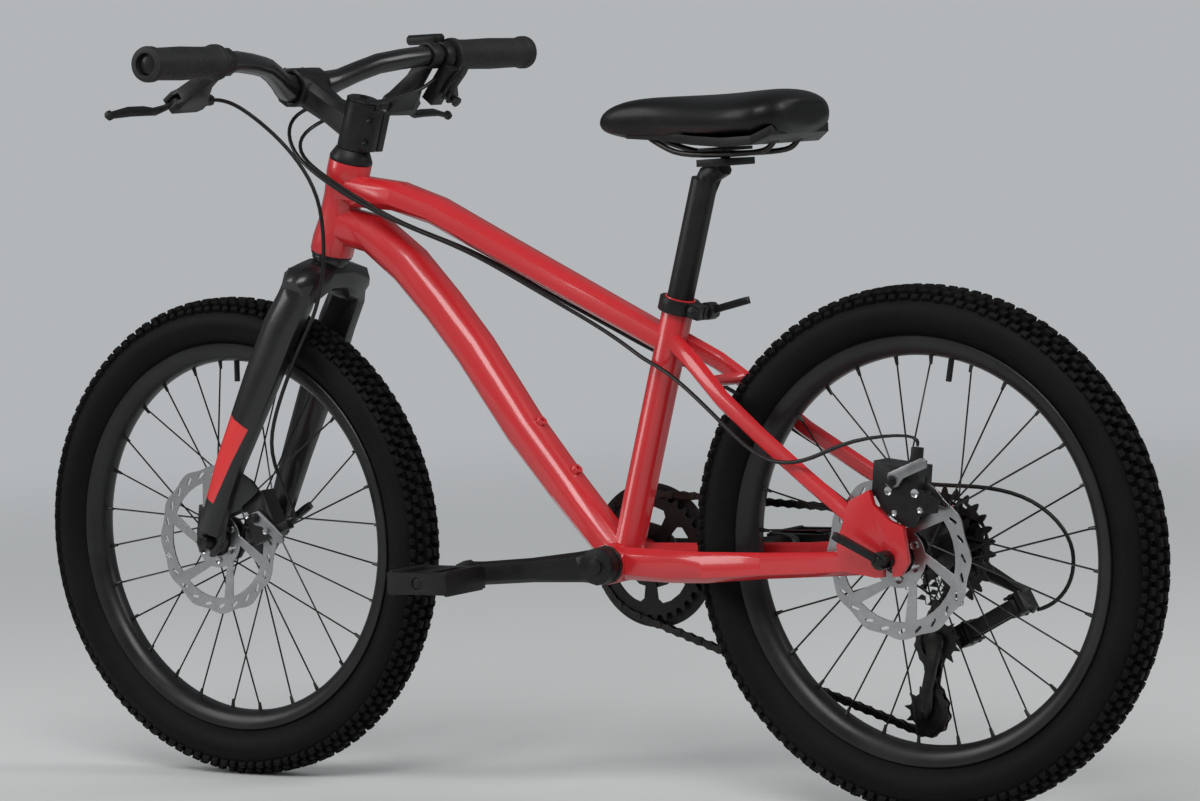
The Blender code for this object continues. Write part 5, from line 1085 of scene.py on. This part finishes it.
def driven_phase(wheel):
    """The angle of the roller nearest the middle of a wheel's arc."""
    number = 2 * ((wheel - 1) % len(DRIVE)) + 1
    middle = sum(length for _, length, _ in pieces[:number]) + pieces[number][1] / 2
    roller = min(range(links), key=lambda i: abs(step * i - middle))
    point, _ = chain_point(pieces, step * roller)
    centre = DRIVE[wheel][0] * MM
    return math.atan2(point.z - centre.y, point.x - centre.x)


# %% The cassette
COG_TEETH = (28, 24, 21, 18, 15, 13, 11)
COG_BORE, COG_THICKNESS = 15, 1.8
made = []
for i, teeth in enumerate(COG_TEETH):
    phase = driven_phase(1) if teeth == DRIVEN_TEETH else 0.3 * i
    outlines = [cog_outline(teeth, phase), ring_of(COG_BORE, 24)]
    if teeth > 15:
        hole = (pitch_radius(teeth) - ROOT_DEPTH + COG_BORE) / 2
        size = (pitch_radius(teeth) - ROOT_DEPTH - COG_BORE) / 2 - 2.2
        for k in range(9):
            outlines.append(ring_of(size, 12, polar(hole, math.tau * k / 9 + 0.4 * i)))
    cog = flat_plate(outlines, COG_THICKNESS)
    cog.location = REAR_AXLE - LEFT * (60 - 5 * (len(COG_TEETH) - 1 - i)) * MM
    made.append(cog)
sleeve = pulled_ring(REAR_AXLE, [(15.6, -24), (15.6, -61.5), (9.4, -61.5), (9.4, -24)], 36)
made.append(sleeve)
stands_for(put_down(join(made), "cassette_fine", dark_steel), "cassette")

# %% [markdown]
# ## Chainring
#
# The chainring has thirty-two teeth round a ring, and five windows that leave
# five arms between them. A flat guard ring is riveted to its outer face, so
# that the chain can't catch a trouser leg.

# %% Ring, windows, guard and rivets
def window(inner, outer, middle, half):
    """A window between two arms, with its four corners cut off."""
    points = []
    for radius, share in (
        (inner, -0.5), (inner + 5, -0.9), (outer - 5, -1.0), (outer, -0.8), (outer + 0.8, -0.3),
        (outer + 0.8, 0.3), (outer, 0.8), (outer - 5, 1.0), (inner + 5, 0.9), (inner, 0.5),
    ):
        points.append(polar(radius, middle + half * share))
    return points


fifth = math.tau / 5
openings = [window(22.5, 50, fifth * k + 0.35, 0.44) for k in range(5)]
toothed = cog_outline(CHAINRING_TEETH, driven_phase(0))
ring = flat_plate([toothed, ring_of(19.7, 32)] + openings, COG_THICKNESS)
ring.location = BRACKET + LEFT * RING_Y * MM
guard = flat_plate([ring_of(74.4, 96), ring_of(53, 72)], 2.4, 0.4)
guard.location = BRACKET + LEFT * (RING_Y - 6) * MM
made = [ring, guard]
for k in range(5):
    x, z = polar(57.2, fifth * k)
    deselect()
    bpy.ops.mesh.primitive_cylinder_add(
        vertices=12, radius=2.6 * MM, depth=7.6 * MM,
        location=BRACKET + Vector((x, RING_Y - 4, z)) * MM, rotation=(math.radians(90), 0, 0),
    )
    made.append(bpy.context.object)
stands_for(put_down(join(made), "chainring_fine", black_alloy, 35), "chainring")

# %% [markdown]
# ## Saddle
#
# The saddle cover is padded: a soft crown over a plastic base. The solid
# gives its outline, so a copy of it is turned back into four-sided faces and
# subdivided, which rounds it as foam under stretched vinyl is round.


# %% The padded cover
cover = stands_for(rounded("saddle_cover", saddle_vinyl), "saddle_cover")

# %% [markdown]
# ## Bolts
#
# Small bolts make a bike read as a machine. They all have the same shape, a
# round head with a socket in it, so one helper makes them: a cylinder whose
# top face is inset once and pushed down. The socket keeps the head's twelve
# sides, which can't be told from six at this size.


# %% A socket bolt
# The rim of the head as a share of its radius, and the depth of its height
SOCKET_RIM = 0.45
SOCKET_DEPTH = 0.6


def socket_bolt(at, direction, radius=2.6, height=2.4):
    """A bolt head whose seat is at a point, pointing along a direction."""
    direction = Vector(direction).normalized()
    deselect()
    bpy.ops.mesh.primitive_cylinder_add(
        vertices=12, radius=radius * MM, depth=height * MM,
        location=Vector(at) + direction * height / 2 * MM,
        rotation=direction.to_track_quat("Z", "Y").to_euler(),
    )
    bolt = bpy.context.object
    mesh = bmesh.new()
    mesh.from_mesh(bolt.data)
    top = max(mesh.faces, key=lambda face: face.calc_center_median().z)
    bmesh.ops.inset_region(mesh, faces=[top], thickness=radius * SOCKET_RIM * MM)
    bmesh.ops.translate(mesh, verts=top.verts, vec=(0, 0, -height * SOCKET_DEPTH * MM))
    mesh.to_mesh(bolt.data)
    mesh.free()
    return bolt


# %% Bolts of the discs
for end, (axle, _) in WHEELS.items():
    low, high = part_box(end + "_rotor")
    made = []
    for i in range(DISC_BOLTS):
        angle = math.tau / DISC_BOLTS * i + BOLT_TURN
        out = Vector((math.cos(angle), 0, math.sin(angle))) * BOLT_CIRCLE * MM
        made.append(socket_bolt(axle + out + LEFT * high[1], LEFT, 3.8, 1.8))
    goes_with(put_down(join(made), end + "_disc_bolts", bolt_steel), end + "_rotor")

# %% Bolts of the stem
made = []
for across in (-15, 15):
    for rise in (-14, 14):
        seat = BAR_CLAMP + LEFT * across * MM + STEERING_UP * rise * MM
        made.append(socket_bolt(seat + STEERING_AHEAD * 14.5 * MM, STEERING_AHEAD, 2.8, 3))
goes_with(put_down(join(made), "faceplate_bolts", dark_steel), "stem_faceplate")
made = [socket_bolt(in_steering(-22, 11, 140 + rise), LEFT, 3, 2.5) for rise in (-12, 12)]
made.append(socket_bolt(in_steering(0, 0, 169.4), STEERING_UP, 4, 2))
goes_with(put_down(join(made), "stem_bolts", dark_steel), "stem")

# %% Bolts of the calipers
CALIPER_BOLTS = {
    "rear": [(-434, 324, 4.2), (-463, 322, 4.2), (-440, 303, 3.0), (-468, 306, 3.0)],
    "front": [(370, 287, 3.6), (346, 270, 3.0)],
}
for end, places in CALIPER_BOLTS.items():
    low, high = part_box(end + "_caliper")
    made = []
    for x, z, radius in places:
        seat = Vector((x * MM, high[1], z * MM)) - LEFT * 1.6 * MM
        made.append(socket_bolt(seat, LEFT, radius, 1.6))
    goes_with(put_down(join(made), end + "_caliper_bolts", bolt_steel), end + "_caliper")

# %% [markdown]
# ## The studio
#
# The bike stands on a wide pale floor that fades into the background colour
# with its distance from the bike, so that no horizon shows from any side. It
# is lit by three soft boxes and a bright, even room. The room is dimmer in
# reflections than in its light, so that black paint stays black.

# %% Floor
FADE_FROM, FADE_TO = 1.4, 5.0
FLOOR_RADIUS = 12
FLOOR_TONE = (0.50, 0.505, 0.50, 1)
studio = bpy.data.materials.new("pale studio floor")
studio.use_nodes = True
nodes, floor_links = studio.node_tree.nodes, studio.node_tree.links
studio_shader = nodes["Principled BSDF"]
studio_shader.inputs["Base Color"].default_value = FLOOR_TONE
studio_shader.inputs["Roughness"].default_value = 0.9
place = nodes.new("ShaderNodeTexCoord")
distance = nodes.new("ShaderNodeVectorMath")
distance.operation = "LENGTH"
fade = nodes.new("ShaderNodeMapRange")
fade.interpolation_type = "SMOOTHSTEP"
fade.inputs["From Min"].default_value = FADE_FROM
fade.inputs["From Max"].default_value = FADE_TO
fade.inputs["To Min"].default_value = 1
fade.inputs["To Max"].default_value = 0
floor_links.new(place.outputs["Object"], distance.inputs[0])
floor_links.new(distance.outputs["Value"], fade.inputs["Value"])
floor_links.new(fade.outputs["Result"], studio_shader.inputs["Alpha"])
deselect()
bpy.ops.mesh.primitive_circle_add(vertices=96, radius=FLOOR_RADIUS, fill_type="NGON")
floor = bpy.context.object
floor.name = "studio_floor"
floor.data.materials.append(studio)


# %% Lights and room
# The room's strength on surfaces, in reflections, and its change for the camera
ROOM_LIGHT, ROOM_REFLECTED, ROOM_SEEN = 0.55, 0.16, -0.05
ROOM_TONE = (0.9, 0.93, 0.96, 1)


def soft_box(at, target, size, power):
    bpy.ops.object.light_add(type="AREA", location=at)
    lamp = bpy.context.object
    lamp.data.shape = "RECTANGLE"
    lamp.data.size = size[0]
    lamp.data.size_y = size[1]
    lamp.data.energy = power
    lamp.rotation_euler = (Vector(target) - Vector(at)).to_track_quat("-Z", "Y").to_euler()
    return lamp


soft_box((-1.2, 2.6, 3.4), (0, 0, 0.4), (2.6, 1.6), 95)
soft_box((2.6, 2.2, 2.2), (0, 0, 0.4), (1.6, 2.2), 50)
soft_box((-3.0, -1.6, 2.6), (-0.2, 0, 0.4), (1.2, 2.0), 45)
world = bpy.data.worlds.new("bright room")
bpy.context.scene.world = world
world.use_nodes = True
room = world.node_tree.nodes["Background"]
room.inputs["Color"].default_value = ROOM_TONE
rays = world.node_tree.nodes.new("ShaderNodeLightPath")
dim = world.node_tree.nodes.new("ShaderNodeMapRange")
dim.inputs["To Min"].default_value = ROOM_LIGHT
dim.inputs["To Max"].default_value = ROOM_REFLECTED
world.node_tree.links.new(rays.outputs["Is Glossy Ray"], dim.inputs["Value"])
seen = world.node_tree.nodes.new("ShaderNodeMath")
seen.operation = "MULTIPLY_ADD"
seen.inputs[1].default_value = ROOM_SEEN
world.node_tree.links.new(rays.outputs["Is Camera Ray"], seen.inputs[0])
world.node_tree.links.new(dim.outputs["Result"], seen.inputs[2])
world.node_tree.links.new(seen.outputs["Value"], room.inputs["Strength"])
bpy.context.scene.view_settings.view_transform = "Standard"
